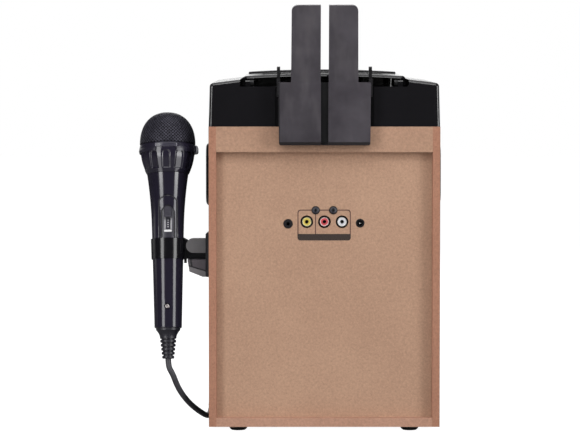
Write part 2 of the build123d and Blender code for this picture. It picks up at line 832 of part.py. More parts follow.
def lid_hinge_arms():
    """Two arms glued under the lid, each with a pin that points outwards into its boss."""
    arms = []
    top_z = pocket_z + lid_rear_height - lid_shell - lid_rear_drop
    pin_length = hinge_boss_width - fit_gap
    for side in (1, -1):
        inner_x = hinge_boss_offset - hinge_boss_width / 2 - fit_gap - hinge_arm_thickness
        outline = make_face(Polyline(
            (hinge_y - hinge_arm_front, top_z), (hinge_y + hinge_arm_rear, top_z), (hinge_y + hinge_knuckle_radius, hinge_z),
            (hinge_y - hinge_knuckle_radius, hinge_z), close=True,
        ))
        outline += Pos(hinge_y, hinge_z) * Circle(hinge_knuckle_radius)
        arm = Pos(inner_x, 0, 0) * extrude(Plane.YZ * outline, hinge_arm_thickness)
        pin_plane = Plane(origin=(inner_x, hinge_y, hinge_z), x_dir=(0, 1, 0), z_dir=(1, 0, 0))
        arm += rod_along(pin_plane, hinge_pin_radius, hinge_arm_thickness + fit_gap + pin_length)
        arms.append(arm if side == 1 else mirror(arm, Plane.YZ))
    return arms


parts["disc_lid"] = disc_lid()
parts["lid_hinge_arms"] = lid_hinge_arms()


# ------------------------------------------------------------------ disc well and mechanism
def disc_tray():
    """The round well under the lid: flange, wall, floor, spindle opening, lens slot, finger notches, posts."""
    outer = well_radius + well_wall
    tray = turned([
        (spindle_opening_radius, well_floor_z), (well_radius, well_floor_z),
        (well_radius, pocket_z + well_flange_thickness), (well_flange_radius, pocket_z + well_flange_thickness),
        (well_flange_radius, pocket_z), (outer, pocket_z),
        (outer, well_floor_z - well_floor), (spindle_opening_radius, well_floor_z - well_floor),
    ])
    web_x = outer - finger_notch_web
    within = block((-web_x, -outer, well_floor_z), (web_x, outer, cutter_top))
    for side in (1, -1):
        notch = Pos(side * well_radius, 0, well_floor_z) * Cylinder(
            finger_notch_radius, 2 * well_depth, align=(Align.CENTER, Align.CENTER, Align.MIN)
        )
        tray -= notch & within
    slot_middle = -sled_start_radius - sled_travel / 2
    slot = Pos(0, slot_middle, well_floor_z - well_floor - 1) * extrude(
        SlotOverall(lens_slot_length, lens_slot_width, rotation=90), well_floor + 2
    )
    tray -= slot
    for sx in (1, -1):
        for sy in (1, -1):
            foot = Pos(sx * chassis_post_x, sy * chassis_post_y, chassis_top_z)
            tray += foot * Cylinder(
                chassis_post_radius, chassis_post_height, align=(Align.CENTER, Align.CENTER, Align.MIN)
            )
    return Pos(0, disc_y, 0) * tray


def rod_ends():
    """Inner faces of the two ears that carry the sled's rods, as places along Y."""
    near = lens_y + sled_length / 2 + fit_gap + 1
    far = lens_y - sled_travel - sled_length / 2 - fit_gap - 1
    return near, far


def disc_chassis():
    """The plate under the well, with the ears that carry the sled's rods."""
    near, far = rod_ends()
    plate = block(
        (-chassis_width / 2, far - rod_ear_thickness - 4, chassis_top_z - chassis_thickness),
        (chassis_width / 2, disc_y + chassis_post_y + 2 * chassis_post_radius, chassis_top_z),
    )
    plate = fillet(plate.edges().filter_by(Axis.Z), 6)
    axis_z = chassis_top_z + rod_height
    for x in (-rod_spacing / 2, rod_spacing / 2):
        for low_y in (near, far - rod_ear_thickness):
            plate += block((x - 3.5, low_y, chassis_top_z - 0.5), (x + 3.5, low_y + rod_ear_thickness, axis_z + 3))
        plate -= rod_along(rearward(x, far - rod_ear_thickness - 1, axis_z), rod_radius, near - far + 2 * rod_ear_thickness + 2)
    plate -= Pos(0, disc_y, chassis_top_z - chassis_thickness - 1) * Cylinder(
        motor_boss_radius, chassis_thickness + 2, align=(Align.CENTER, Align.CENTER, Align.MIN)
    )
    return plate


def sled_rods():
    near, far = rod_ends()
    length = near - far + 2 * rod_ear_thickness
    axis_z = chassis_top_z + rod_height
    return [
        rod_along(rearward(x, far - rod_ear_thickness, axis_z), rod_radius, length)
        for x in (-rod_spacing / 2, rod_spacing / 2)
    ]


def spindle_motor():
    """Motor can under the chassis, with a boss through the plate and a bore for the hub's shaft."""
    low_z = chassis_top_z - chassis_thickness - motor_height
    boss_top = chassis_top_z + 1.5
    motor = turned([
        (spindle_shaft_radius + running_gap, low_z + 1), (0, low_z + 1), (0, low_z), (motor_radius, low_z),
        (motor_radius, chassis_top_z - chassis_thickness), (motor_boss_radius, chassis_top_z - chassis_thickness),
        (motor_boss_radius, boss_top), (spindle_shaft_radius + running_gap, boss_top),
    ])
    return Pos(0, disc_y, 0) * motor


def disc_hub():
    """Platform, centring boss with sprung balls, and the shaft into the motor."""
    seat = well_floor_z + disc_seat_height
    low_z = chassis_top_z - chassis_thickness - motor_height + 1 + fit_gap
    hub = turned([
        (0, low_z), (spindle_shaft_radius, low_z), (spindle_shaft_radius, chassis_top_z + 2.5), (5.0, chassis_top_z + 2.5),
        (5.0, seat - hub_platform_thickness), (hub_platform_radius, seat - hub_platform_thickness),
        (hub_platform_radius, seat), (hub_boss_radius, seat), (hub_boss_radius, seat + hub_boss_height - 2),
        (hub_boss_radius - 2.2, seat + hub_boss_height), (0, seat + hub_boss_height),
    ])
    for index in range(hub_ball_count):
        turn = Rot(0, 0, 360 / hub_ball_count * index)
        hub += turn * Pos(hub_boss_radius - 0.7, 0, seat + 2.2) * Sphere(hub_ball_radius)
    return Pos(0, disc_y, 0) * hub


def laser_sled():
    """The carriage that slides on the two rods."""
    axis_z = chassis_top_z + rod_height
    low_z = chassis_top_z + 1.0
    sled = block(
        (-rod_spacing / 2 - 4.5, lens_y - sled_length / 2, low_z),
        (rod_spacing / 2 + 4.5, lens_y + sled_length / 2, low_z + sled_height),
    )
    sled = fillet(sled.edges().filter_by(Axis.Z), 2.5)
    for x in (-rod_spacing / 2, rod_spacing / 2):
        sled -= rod_along(rearward(x, lens_y - sled_length, axis_z), rod_radius + running_gap, 2 * sled_length)
    return sled


def laser_lens():
    """The lens barrel on the sled, with a domed lens on top."""
    base = chassis_top_z + 1.0 + sled_height
    top = well_floor_z - 0.8
    outline = Polyline((0, base), (lens_barrel_radius, base), (lens_barrel_radius, top - 1.2), (lens_radius, top - 0.6))
    outline += cap_arc(lens_radius, top - 0.6, top)
    outline += Line((0, top), (0, base))
    return Pos(0, lens_y, 0) * revolve(Plane.XZ * make_face(outline), Axis.Z)


parts["disc_tray"] = disc_tray()
parts["disc_chassis"] = disc_chassis()
parts["sled_rods"] = sled_rods()
parts["spindle_motor"] = spindle_motor()
parts["disc_hub"] = disc_hub()
parts["laser_sled"] = laser_sled()
parts["laser_lens"] = laser_lens()


# ------------------------------------------------------------------ controls
def land_height(y):
    """Height of the deck's centre between the rear edge and the crest."""
    share = (rear_y - y) / (rear_y - crest_y)
    return cabinet_top + rear_top_height + share * (crest_top_height - rear_top_height)


def lid_button():
    """The bar on the land ahead of the lid, with a flange that keeps it in and a stem below."""
    middle_y = (pocket_front_y + crest_y) / 2
    top_z = land_height(middle_y) + latch_button_rise
    low_z = land_height(middle_y) - housing_wall - 3 * fit_gap
    cap = extrude(SlotOverall(latch_button_length, latch_button_width), top_z - low_z)
    cap = fillet(cap.faces().sort_by(Axis.Z)[-1].edges(), 1.0)
    flange = extrude(SlotOverall(latch_button_length + 3, latch_button_width + 0.8), -1.2)
    stem = extrude(Rectangle(12, 3), -7)
    return Pos(0, middle_y, low_z) * (cap + flange + stem)


def control_panel():
    """The flat fascia plate in the front slope, with openings and board posts under it."""
    plate = extrude(RectangleRounded(panel_width, panel_height, panel_corner_radius), -panel_thickness)
    plate = chamfer(plate.faces().sort_by(Axis.Z)[-1].edges(), 0.5)
    for u in button_places:
        plate -= Pos(u, button_row) * Cylinder(button_radius + fit_gap, 4 * panel_thickness)
    for u in knob_places:
        plate -= Pos(u, knob_row) * Cylinder(knob_shaft_radius + fit_gap, 4 * panel_thickness)
    opening = Pos(*window_place) * RectangleRounded(window_width - 4, window_height - 4, 2)
    seat = Pos(*window_place) * RectangleRounded(window_width, window_height, 3)
    plate -= Pos(0, 0, -2 * panel_thickness) * extrude(opening, 4 * panel_thickness)
    plate -= extrude(seat, -window_thickness)
    for u, v in board_posts():
        plate += Pos(u, v, -panel_thickness - board_depth) * Cylinder(
            board_post_radius, board_depth, align=(Align.CENTER, Align.CENTER, Align.MIN)
        )
    return panel_plane * plate


def board_posts():
    u = panel_width / 2 - board_margin - board_post_radius
    v = panel_height / 2 - board_margin - board_post_radius
    return [(sign_u * u, sign_v * v) for sign_u in (1, -1) for sign_v in (1, -1)]


def control_board():
    """The circuit board under the panel, with a switch under each button and a pot under each knob."""
    low = -panel_thickness - board_depth - board_thickness
    board = Pos(0, 0, low) * extrude(
        Rectangle(panel_width - 2 * board_margin, panel_height - 2 * board_margin), board_thickness
    )
    top = low + board_thickness
    switch_height = board_depth - button_flange_thickness - fit_gap - button_travel - fit_gap
    for u in button_places:
        board += Pos(u, button_row, top - 0.2) * Box(6, 6, switch_height * 0.6 + 0.2, align=(Align.CENTER, Align.CENTER, Align.MIN))
        board += Pos(u, button_row, top) * Cylinder(1.7, switch_height, align=(Align.CENTER, Align.CENTER, Align.MIN))
    for u in knob_places:
        pot = Pos(u, knob_row, top - 0.2) * Cylinder(6.5, board_depth - 2 + 0.2, align=(Align.CENTER, Align.CENTER, Align.MIN))
        board += pot
        board -= Pos(u, knob_row, top + 1.0) * Cylinder(
            knob_shaft_radius + running_gap, board_depth, align=(Align.CENTER, Align.CENTER, Align.MIN)
        )
    display_top = board_depth - fit_gap
    board += Pos(*window_place, top - 0.2) * Box(
        window_width - 12, window_height - 6, display_top + 0.2, align=(Align.CENTER, Align.CENTER, Align.MIN)
    )
    return panel_plane * board


def display_window():
    pane = Pos(*window_place, -window_thickness) * extrude(
        RectangleRounded(window_width - 0.1, window_height - 0.1, 2.9), window_thickness
    )
    return panel_plane * pane


def push_button(u):
    """A round cap in the panel with a retaining flange under it."""
    low = -panel_thickness - fit_gap
    cap = Pos(0, 0, low) * Cylinder(button_radius, button_rise - low, align=(Align.CENTER, Align.CENTER, Align.MIN))
    cap = fillet(cap.faces().sort_by(Axis.Z)[-1].edges(), 0.7)
    flange = Pos(0, 0, low) * Cylinder(
        button_radius + button_flange_width, button_flange_thickness, align=(Align.CENTER, Align.CENTER, Align.MAX)
    )
    return panel_plane * (Pos(u, button_row) * (cap + flange))


def knob(u):
    """A fluted control knob with a pointer ridge and its shaft."""
    body = Cylinder(knob_radius, knob_height, align=(Align.CENTER, Align.CENTER, Align.MIN))
    body = fillet(body.faces().sort_by(Axis.Z)[-1].edges(), 1.2)
    for index in range(knob_grip_count):
        turn = Rot(0, 0, 360 / knob_grip_count * (index + 0.5))
        flute = Pos(knob_radius + 0.6, 0, 2.5) * Cylinder(1.2, knob_height, align=(Align.CENTER, Align.CENTER, Align.MIN))
        body -= turn * flute
    body += Pos(0, knob_radius * 0.55, knob_height - 0.2) * Box(1.4, knob_radius * 0.7, 0.8, align=(Align.CENTER, Align.CENTER, Align.MIN))
    shaft_low = -panel_thickness - board_depth + 1.0 + fit_gap
    shaft = Pos(0, 0, shaft_low) * Cylinder(
        knob_shaft_radius, knob_gap - shaft_low + 1, align=(Align.CENTER, Align.CENTER, Align.MIN)
    )
    return panel_plane * (Pos(u, knob_row) * (Pos(0, 0, knob_gap) * body + shaft))


def mic_jacks():
    """Two 6.35 mm sockets in the front fascia: bush, nut and body behind the wall."""
    jacks = []
    z = cabinet_top + front_top_height - mic_jack_drop
    inner_y = front_y + housing_wall
    for x in mic_jack_places:
        half = mic_jack_body_size / 2
        body = block((x - half, inner_y, z - half + 1), (x + half, inner_y + mic_jack_body_length, z + half - 3))
        bush_start = front_y - mic_jack_nut_thickness - 0.8
        body += rod_along(rearward(x, bush_start, z), mic_jack_bush_radius, inner_y - bush_start + 1)
        nut = rod_along(rearward(x, front_y - mic_jack_nut_thickness, z), mic_jack_nut_radius, mic_jack_nut_thickness)
        nut = chamfer(nut.faces().sort_by(Axis.Y)[0].edges(), 0.6)
        body += nut
        body -= rod_along(rearward(x, bush_start - 0.5, z), mic_jack_bore, mic_jack_bore_length + 0.5)
        jacks.append(body)
    return jacks


parts["lid_button"] = lid_button()
parts["control_panel"] = control_panel()
parts["control_board"] = control_board()
parts["display_window"] = display_window()
for name, u in zip(button_names, button_places):
    parts[name] = push_button(u)
for name, u in zip(knob_names, knob_places):
    parts[name] = knob(u)
parts["mic_jacks"] = mic_jacks()


# ------------------------------------------------------------------ rear sockets
def phono_block():
    """The black moulding behind the panel, bored through for its three sockets."""
    z = cabinet_bottom + phono_row
    half_x = phono_pitch + phono_block_margin
    body = block(
        (phono_middle_x - half_x, phono_seat_y, z - phono_block_height / 2),
        (phono_middle_x + half_x, back_inner_y, z + phono_block_height / 2 + 4),
    )
    for x, _ in phono_places():
        body -= rod_along(rearward(x, phono_seat_y - 1, z), phono_shell_radius, phono_block_depth + 2)
    for x, screw_z in screw_places():
        body -= rod_along(rearward(x, back_inner_y - 6, screw_z), jack_screw_shank_radius, 7)
    return body


def phono_ring(index):
    """The coloured insulator of one phono socket, with its centre hole."""
    x, z = phono_places()[index]
    length = back_y - phono_sink - 0.6 - phono_seat_y
    ring = rod_along(rearward(x, phono_seat_y, z), phono_shell_radius - phono_shell_wall, length)
    ring = chamfer(ring.faces().sort_by(Axis.Y)[-1].edges(), 0.3)
    hole_start = phono_seat_y + length - phono_socket_length
    return ring - rod_along(rearward(x, hole_start, z), phono_socket_radius, phono_socket_length + 1)


def jack_contacts():
    """Metal shells of the phono sockets and the centre pin of the DC jack."""
    solids = []
    length = back_y - phono_sink - phono_seat_y
    for x, z in phono_places():
        base = rearward(x, phono_seat_y, z)
        shell = rod_along(base, phono_shell_radius, length) - rod_along(base, phono_shell_radius - phono_shell_wall, length)
        solids.append(shell)
    z = cabinet_bottom + dc_row
    pin_start = back_y - dc_cavity_length
    pin = rod_along(rearward(dc_x, pin_start, z), dc_pin_radius, dc_cavity_length - 1.0)
    solids.append(fillet(pin.faces().sort_by(Axis.Y)[-1].edges(), 0.5))
    return solids


def jack_screws():
    """Two round-head slotted screws that hold the phono block to the back panel."""
    screws = []
    for x, z in screw_places():
        base = rearward(x, back_y, z)
        outline = Polyline((0, 0), (jack_screw_head_radius, 0), (jack_screw_head_radius, 0.5))
        outline += cap_arc(jack_screw_head_radius, 0.5, jack_screw_head_height)
        outline += Line((0, jack_screw_head_height), (0, 0))
        screw = base * revolve(Plane.XZ * make_face(outline), Axis.Z)
        screw += rod_along(rearward(x, back_inner_y - 6, z), jack_screw_shank_radius, back_thickness + 6.5)
        for turn in (0, 90):
            slot = base * (Rot(0, 0, turn) * Pos(0, 0, jack_screw_head_height - 0.2) * Box(jack_screw_head_radius, jack_screw_slot, 2))
            screw -= slot
        screws.append(screw)
    return screws


def small_jack(x, row, outer_radius, proud, bore, bore_length):
    """A round socket through the back panel with its square body behind."""
    z = cabinet_bottom + row
    half = small_jack_body / 2
    body = block((x - half, back_inner_y - small_jack_depth, z - half), (x + half, back_inner_y, z + half))
    barrel = rod_along(rearward(x, back_inner_y - 1, z), outer_radius, back_thickness + 1 + proud)
    barrel = chamfer(barrel.faces().sort_by(Axis.Y)[-1].edges(), 0.4)
    body += barrel
    body -= rod_along(rearward(x, back_y + proud - bore_length, z), bore, bore_length + 1)
    return body


def jack_board():
    """The circuit board that carries the rear sockets, upright behind them."""
    y = phono_seat_y
    z = cabinet_bottom + jack_row
    return block(
        (-jack_board_width / 2, y - jack_board_thickness, z - jack_board_height / 2),
        (jack_board_width / 2, y, z + jack_board_height / 2),
    )


parts["phono_block"] = phono_block()
for index, colour in enumerate(("yellow", "red", "white")):
    parts[f"phono_ring_{colour}"] = phono_ring(index)
parts["jack_contacts"] = jack_contacts()
parts["jack_screws"] = jack_screws()
parts["aux_jack"] = small_jack(aux_x, aux_row, aux_outer_radius, aux_proud, aux_bore, aux_bore_length)
parts["dc_jack"] = small_jack(dc_x, dc_row, dc_outer_radius, 0.0, dc_cavity_radius, dc_cavity_length)
parts["jack_board"] = jack_board()


# ------------------------------------------------------------------ tablet holder
def holder_body():
    """Back plate with two leaning arms, and the pad, bridge and tongue that hang it on the housing's rear wall."""
    low_z = holder_top_z - holder_height
    front = rear_y + holder_clear
    outline = make_face(Polyline(
        (holder_half_width, holder_top_z), (holder_half_width - holder_taper, low_z),
        (-holder_half_width + holder_taper, low_z), (-holder_half_width, holder_top_z), close=True,
    ))
    outline = fillet(outline.vertices(), holder_corner_radius)
    body = Plane.XZ.offset(-holder_rear_y) * extrude(outline, holder_thickness)
    bevel = Plane.YZ.offset(-holder_half_width - 1) * make_face(Polyline(
        (holder_rear_y + 1, low_z - 1), (holder_rear_y - holder_bevel, low_z - 1), (holder_rear_y + 1, low_z + holder_bevel + 1),
        close=True,
    ))
    body -= extrude(bevel, 2 * holder_half_width + 2)
    body += holder_arms()
    # groove for the spine
    body -= block(
        (-spine_half_width, holder_rear_y - spine_groove_depth, low_z - 1),
        (spine_half_width, holder_rear_y + 1, holder_top_z + 0.0),
    )
    # pad in the housing's pocket, bridge over the wall, tongue behind it
    pad_front = rear_y - holder_pocket_depth + holder_clear
    body += block(
        (-holder_pad_half_width, pad_front, cabinet_top + 2), (holder_pad_half_width, front + 0.5, pocket_z + fit_gap)
    )
    tongue_rear = rear_y - holder_pocket_depth - housing_wall - fit_gap
    bridge_top = holder_top_z
    body += block(
        (-holder_tongue_half_width, tongue_rear - holder_tongue_thickness, pocket_z + fit_gap),
        (holder_tongue_half_width, front + 0.5, bridge_top),
    )
    body += block(
        (-holder_tongue_half_width, tongue_rear - holder_tongue_thickness, pocket_z - holder_tongue_length),
        (holder_tongue_half_width, tongue_rear, bridge_top),
    )
    return body


def holder_arms():
    """The two upright plates, in one slab leaning back, split by the central gap."""
    lean = math.radians(arm_lean)
    base_y = holder_rear_y - arm_thickness / math.cos(lean)
    face = make_face(Polyline(
        (arm_outer_bottom, -4), (arm_outer_top, arm_length), (arm_gap_half, arm_length), (arm_gap_half, -4), close=True,
    ))
    corner = face.vertices().sort_by(Axis.X)[-2:].sort_by(Axis.Y)[-1:]
    face = fillet(corner, arm_corner_radius)
    pair = [face, mirror(face, Plane.YZ)]
    leaning = Plane(
        origin=(0, base_y, holder_top_z), x_dir=(1, 0, 0), z_dir=(0, -math.cos(lean), math.sin(lean))
    )
    return [leaning * extrude(half, -arm_thickness) for half in pair]


def holder_spine():
    low_z = holder_top_z - holder_height
    face_y = holder_rear_y - spine_groove_depth
    return block(
        (-spine_half_width, face_y, low_z + holder_bevel),
        (spine_half_width, holder_rear_y - spine_sink, holder_top_z),
    )


def holder_hooks():
    """The two J-shaped ribs whose tips keep a tablet's lower edge on the holder."""
    tip_y = rear_y + holder_clear + holder_thickness - arm_thickness - hook_gap - hook_tip
    outline = Polyline(
        (holder_rear_y - 1.5, holder_top_z), (holder_rear_y - 1.5, holder_top_z + hook_bar),
        (tip_y + hook_tip, holder_top_z + hook_bar), (tip_y + hook_tip, holder_top_z + hook_bar + hook_rise),
        (tip_y, holder_top_z + hook_bar + hook_rise), (tip_y, holder_top_z), close=True,
    )
    face = make_face(outline)
    tips = face.vertices().sort_by(Axis.Y)[-2:]
    face = fillet(tips, hook_tip * 0.45)
    rib = Plane.YZ * face
    hooks = []
    for side in (1, -1):
        low_x = hook_outer - hook_thickness if side == 1 else -hook_outer
        hook = Pos(low_x, 0, 0) * extrude(rib, hook_thickness)
        edge_x = side * holder_half_width
        outer_x = side * hook_outer
        hook += block(
            (min(edge_x, outer_x), rear_y + holder_clear, holder_top_z - hook_leg),
            (max(edge_x, outer_x), holder_rear_y - 1.5, holder_top_z + 0.5),
        )
        hooks.append(hook)
    return hooks


parts["holder_body"] = holder_body()
parts["holder_spine"] = holder_spine()
parts["holder_hooks"] = holder_hooks()


# ------------------------------------------------------------------ microphone
def flare_arc():
    """Centre and radius of the handle's flare, tangent to its straight taper, in (radius, height)."""
    slope = (body_waist_radius - body_foot_radius) / (body_waist - relief_length)
    size = math.hypot(1, slope)
    outward = (1 / size, -slope / size)
    across, along = body_top_radius - body_waist_radius, body_end - body_waist
    radius = (across**2 + along**2) / (2 * (across * outward[0] + along * outward[1]))
    return body_waist_radius + radius * outward[0], body_waist + radius * outward[1], radius


def body_radius(height):
    """The microphone handle's radius at a height along its axis."""
    if height <= body_waist:
        share = (height - relief_length) / (body_waist - relief_length)
        return body_foot_radius + share * (body_waist_radius - body_foot_radius)
    centre_r, centre_h, radius = flare_arc()
    return centre_r - math.sqrt(radius**2 - (height - centre_h) ** 2)


def handle_form(grow, low, high):
    """The handle's solid of revolution between two heights, grown by an even skin."""
    outline = Polyline((0, high), (0, low), (body_radius(low) + grow, low), (body_waist_radius + grow, body_waist))
    middle = (body_waist + high) / 2
    end = (body_radius(high) + grow, high)
    outline += ThreePointArc((body_waist_radius + grow, body_waist), (body_radius(middle) + grow, middle), end)
    outline += Line(end, (0, high))
    return revolve(Plane.XZ * make_face(outline), Axis.Z)


def arched(half_width, low, high, arch):
    """A prism towards the switch side with an arched top, for the switch's pad and panel."""
    outline = Polyline((-half_width, high - arch), (-half_width, low), (half_width, low), (half_width, high - arch))
    outline += ThreePointArc((half_width, high - arch), (0, high), (-half_width, high - arch))
    # a plane whose X runs along local X and whose Y runs up the axis looks along -Y
    return Pos(switch_offset, 0, 0) * extrude(Plane.XZ * make_face(outline), -40)


def mic_body():
    """The tapered handle with the arched pad, the sunk panel and the slot that the switch slides in."""
    body = handle_form(0, relief_length, body_end)
    body = fillet(body.edges().filter_by(GeomType.CIRCLE).sort_by(Axis.Z)[0], body_edge_radius)
    low = clip_end + 3 * clip_clearance
    pad = handle_form(pad_rise, low, pad_end + pad_arch) & arched(pad_half_width, low, pad_end, pad_arch)
    sunk = handle_form(pad_rise + 1, low, pad_end + pad_arch) - handle_form(pad_rise - panel_depth, low, pad_end + pad_arch)
    body += pad
    body -= sunk & arched(panel_half_width, low, panel_end, panel_arch)
    slot_low = switch_start - switch_travel - fit_gap
    slot_high = switch_start + switch_length + fit_gap
    half = switch_width / 2 + fit_gap
    body -= block((switch_offset - half, switch_floor, slot_low), (switch_offset + half, 40, slot_high))
    screw_floor = body_radius(body_screw_height) - body_screw_depth
    body -= rod_along(
        Plane(origin=(0, screw_floor, body_screw_height), x_dir=(1, 0, 0), z_dir=(0, 1, 0)), body_screw_radius, 10
    )
    return mic_plane * body


def mic_switch():
    """The sliding thumb switch, ridged across."""
    base = switch_floor + fit_gap
    half = switch_width / 2
    body = block((switch_offset - half, base, switch_start), (switch_offset + half, switch_face, switch_start + switch_length))
    body = fillet(body.edges().filter_by(Axis.Y), 1.0)
    for step in (-1, 0, 1):
        z = switch_start + switch_length / 2 + 2.4 * step
        body -= block((switch_offset - half - 1, switch_face - 0.6, z - 0.5), (switch_offset + half + 1, switch_face + 1, z + 0.5))
    return mic_plane * body


def collar_form(grow, high):
    """The barrelled collar as a solid of revolution up to a height, grown by an even skin."""
    start, middle = (collar_foot_radius + grow, body_end), (collar_middle_radius + grow, collar_middle)
    end = (collar_top_radius + grow, collar_end)
    outline = ThreePointArc(start, middle, end) + Polyline(end, (0, collar_end), (0, body_end), start)
    form = revolve(Plane.XZ * make_face(outline), Axis.Z)
    return form & Pos(0, 0, body_end) * Cylinder(60, high - body_end, align=(Align.CENTER, Align.CENTER, Align.MIN))


def mic_collar():
    """The flared collar under the grille, with an arched flute cut into each of its twelve sides."""
    collar = collar_form(0, collar_end)
    rise = collar_flute_end - collar_flute_start
    low_r, high_r = collar_foot_radius + 1.4, collar_top_radius - 0.3
    lean = math.degrees(math.atan2(high_r - low_r, rise))
    outline = Polyline(
        (-collar_flute_width / 2, rise - collar_flute_width / 2), (-collar_flute_width / 2, 0),
        (collar_flute_width / 2, 0), (collar_flute_width / 2, rise - collar_flute_width / 2),
    )
    outline += ThreePointArc(
        (collar_flute_width / 2, rise - collar_flute_width / 2), (0, rise), (-collar_flute_width / 2, rise - collar_flute_width / 2)
    )
    flute = extrude(Plane.XZ * make_face(outline), -6)
    flute = Pos(0, low_r - collar_flute_depth, collar_flute_start) * (Rot(-lean, 0, 0) * flute)
    for index in range(collar_flute_count):
        collar -= Rot(0, 0, 360 / collar_flute_count * index) * flute
    return mic_plane * collar


def mic_ring():
    """The band that joins collar and grille, with a skirt down each side and the anti-roll lug."""
    skirt_low = collar_end - ring_skirt
    ring = turned([
        (0, ring_end), (0, skirt_low), (ring_radius - 0.5, skirt_low), (ring_radius, skirt_low + 2.6),
        (ring_radius - 0.2, collar_end), (ring_band_radius + 0.3, ring_end - 1.4), (ring_top_radius, ring_end),
    ])
    middle = skirt_low + lug_height / 2
    lug = Pos(-ring_radius + 2, 0, middle) * Box(
        lug_proud + 2, lug_width, lug_height, align=(Align.MAX, Align.CENTER, Align.CENTER)
    )
    lug = fillet(lug.edges().filter_by(Axis.Y).sort_by(Axis.X)[:2], 2.2)
    ring += lug
    ring -= Pos(0, 0, body_end) * Cylinder(
        collar_top_radius + fit_gap, collar_end - body_end, align=(Align.CENTER, Align.CENTER, Align.MIN)
    )
    gap = block((-ring_gap_half, -60, skirt_low - 1), (ring_gap_half, 60, collar_end))
    band = block((-ring_gap_half, -60, collar_end), (ring_gap_half, 60, ring_end - 1.4))
    band -= Pos(0, 0, collar_end) * Cylinder(ring_band_radius, 20, align=(Align.CENTER, Align.CENTER, Align.MIN))
    return mic_plane * (ring - gap - band)


def ball_form(inset):
    """The grille's domed form, or the same drawn in by an even wall."""
    edge = ball_radius - inset
    top = ball_height - inset
    shape = Spline(
        (edge, ball_height * 0.12), (edge - 0.9, ball_height * 0.41), (edge - 3.5, ball_height * 0.60),
        (edge - 7.3, top - ball_height * 0.24), (edge - 13.1, top - ball_height * 0.105), (0, top),
        tangents=((0, 1), (-1, 0)),
    )
    outline = shape + Polyline((0, top), (0, 0), (edge, 0), (edge, ball_height * 0.12))
    return revolve(Plane.XZ * make_face(outline), Axis.Z)


def mic_grille():
    """The ball grille as a thin shell."""
    return mic_plane * (Pos(0, 0, ring_end) * (ball_form(0) - ball_form(ball_wall)))


def mic_capsule():
    """The capsule on its post inside the ball."""
    top = ring_end + ball_height * 0.6
    capsule = turned([
        (0, ring_end), (capsule_radius * 1.3, ring_end), (capsule_radius * 1.3, ring_end + 3),
        (capsule_radius, ring_end + 5), (capsule_radius, top - 1), (capsule_radius - 1, top), (0, top),
    ])
    return mic_plane * capsule


def strain_relief():
    """The ribbed, tapered boot that the cord leaves by."""
    outline = [(0, 0)]
    step = (relief_neck_radius - relief_tip_radius) / relief_rib_count
    for index in range(relief_rib_count):
        radius = relief_tip_radius + step * index
        low = relief_rib_pitch * index
        high = low + relief_rib_width
        outline += [(radius - 0.5, low), (radius, low + 0.6), (radius, high - 0.6), (radius - 0.5, high)]
        outline += [(radius - relief_groove_depth, high + 0.2), (radius - relief_groove_depth, low + relief_rib_pitch - 0.2)]
    neck = relief_rib_pitch * relief_rib_count
    flange = relief_length - relief_flange_length
    outline += [
        (relief_neck_radius - 0.3, neck), (relief_neck_radius, neck + 2.6), (relief_neck_radius + 0.9, neck + 4.8),
        (relief_flange_radius - 1.2, flange), (relief_flange_radius - 0.2, flange + 1.0),
        (relief_flange_radius, relief_length), (0, relief_length),
    ]
    return mic_plane * turned(outline)


parts["mic_body"] = mic_body()
parts["mic_switch"] = mic_switch()
parts["mic_collar"] = mic_collar()
parts["mic_ring"] = mic_ring()
parts["mic_grille"] = mic_grille()
parts["mic_capsule"] = mic_capsule()
parts["mic_strain_relief"] = strain_relief()


# ------------------------------------------------------------------ microphone holder
clip_middle = Vector(*mic_foot) + mic_axis * ((clip_start + clip_end) / 2)
plate_x = half_width + plate_thickness
plate_z = cabinet_bottom + plate_bottom


def mic_clip():
    """The tapered ring that the microphone drops into, with the neck that joins it to the wall plate."""
    low, high = body_radius(clip_start) + clip_clearance, body_radius(clip_end) + clip_clearance
    ring = turned([
        (low, clip_start), (low + clip_wall, clip_start), (high + clip_wall, clip_end), (high, clip_end),
    ])
    reach = clip_end - clip_start
    bore = turned([
        (0, clip_start - reach), (low, clip_start - reach), (low, clip_start), (high, clip_end),
        (high, clip_end + reach), (0, clip_end + reach),
    ])
    low_z = plate_z + neck_bottom
    high_z = low_z + neck_height
    ring_x = clip_middle.X - low
    outline = make_face(Polyline(
        (plate_x, low_z), (clip_middle.X - low / 2, low_z), (clip_middle.X - low / 2, high_z + 3),
        (ring_x, high_z + 3), (plate_x + neck_shoulder, high_z), (plate_x, high_z - 0.8), close=True,
    ))
    neck = extrude(Plane.XZ.offset(-clip_middle.Y - fit_gap) * outline, neck_thickness)
    barb = block(
        (plate_x + barb_place - barb_width / 2, clip_middle.Y - 6, low_z - barb_drop),
        (plate_x + barb_place + barb_width / 2, clip_middle.Y - 2, low_z + 2),
    )
    return mic_plane * ring + ((neck + barb) - mic_plane * bore)


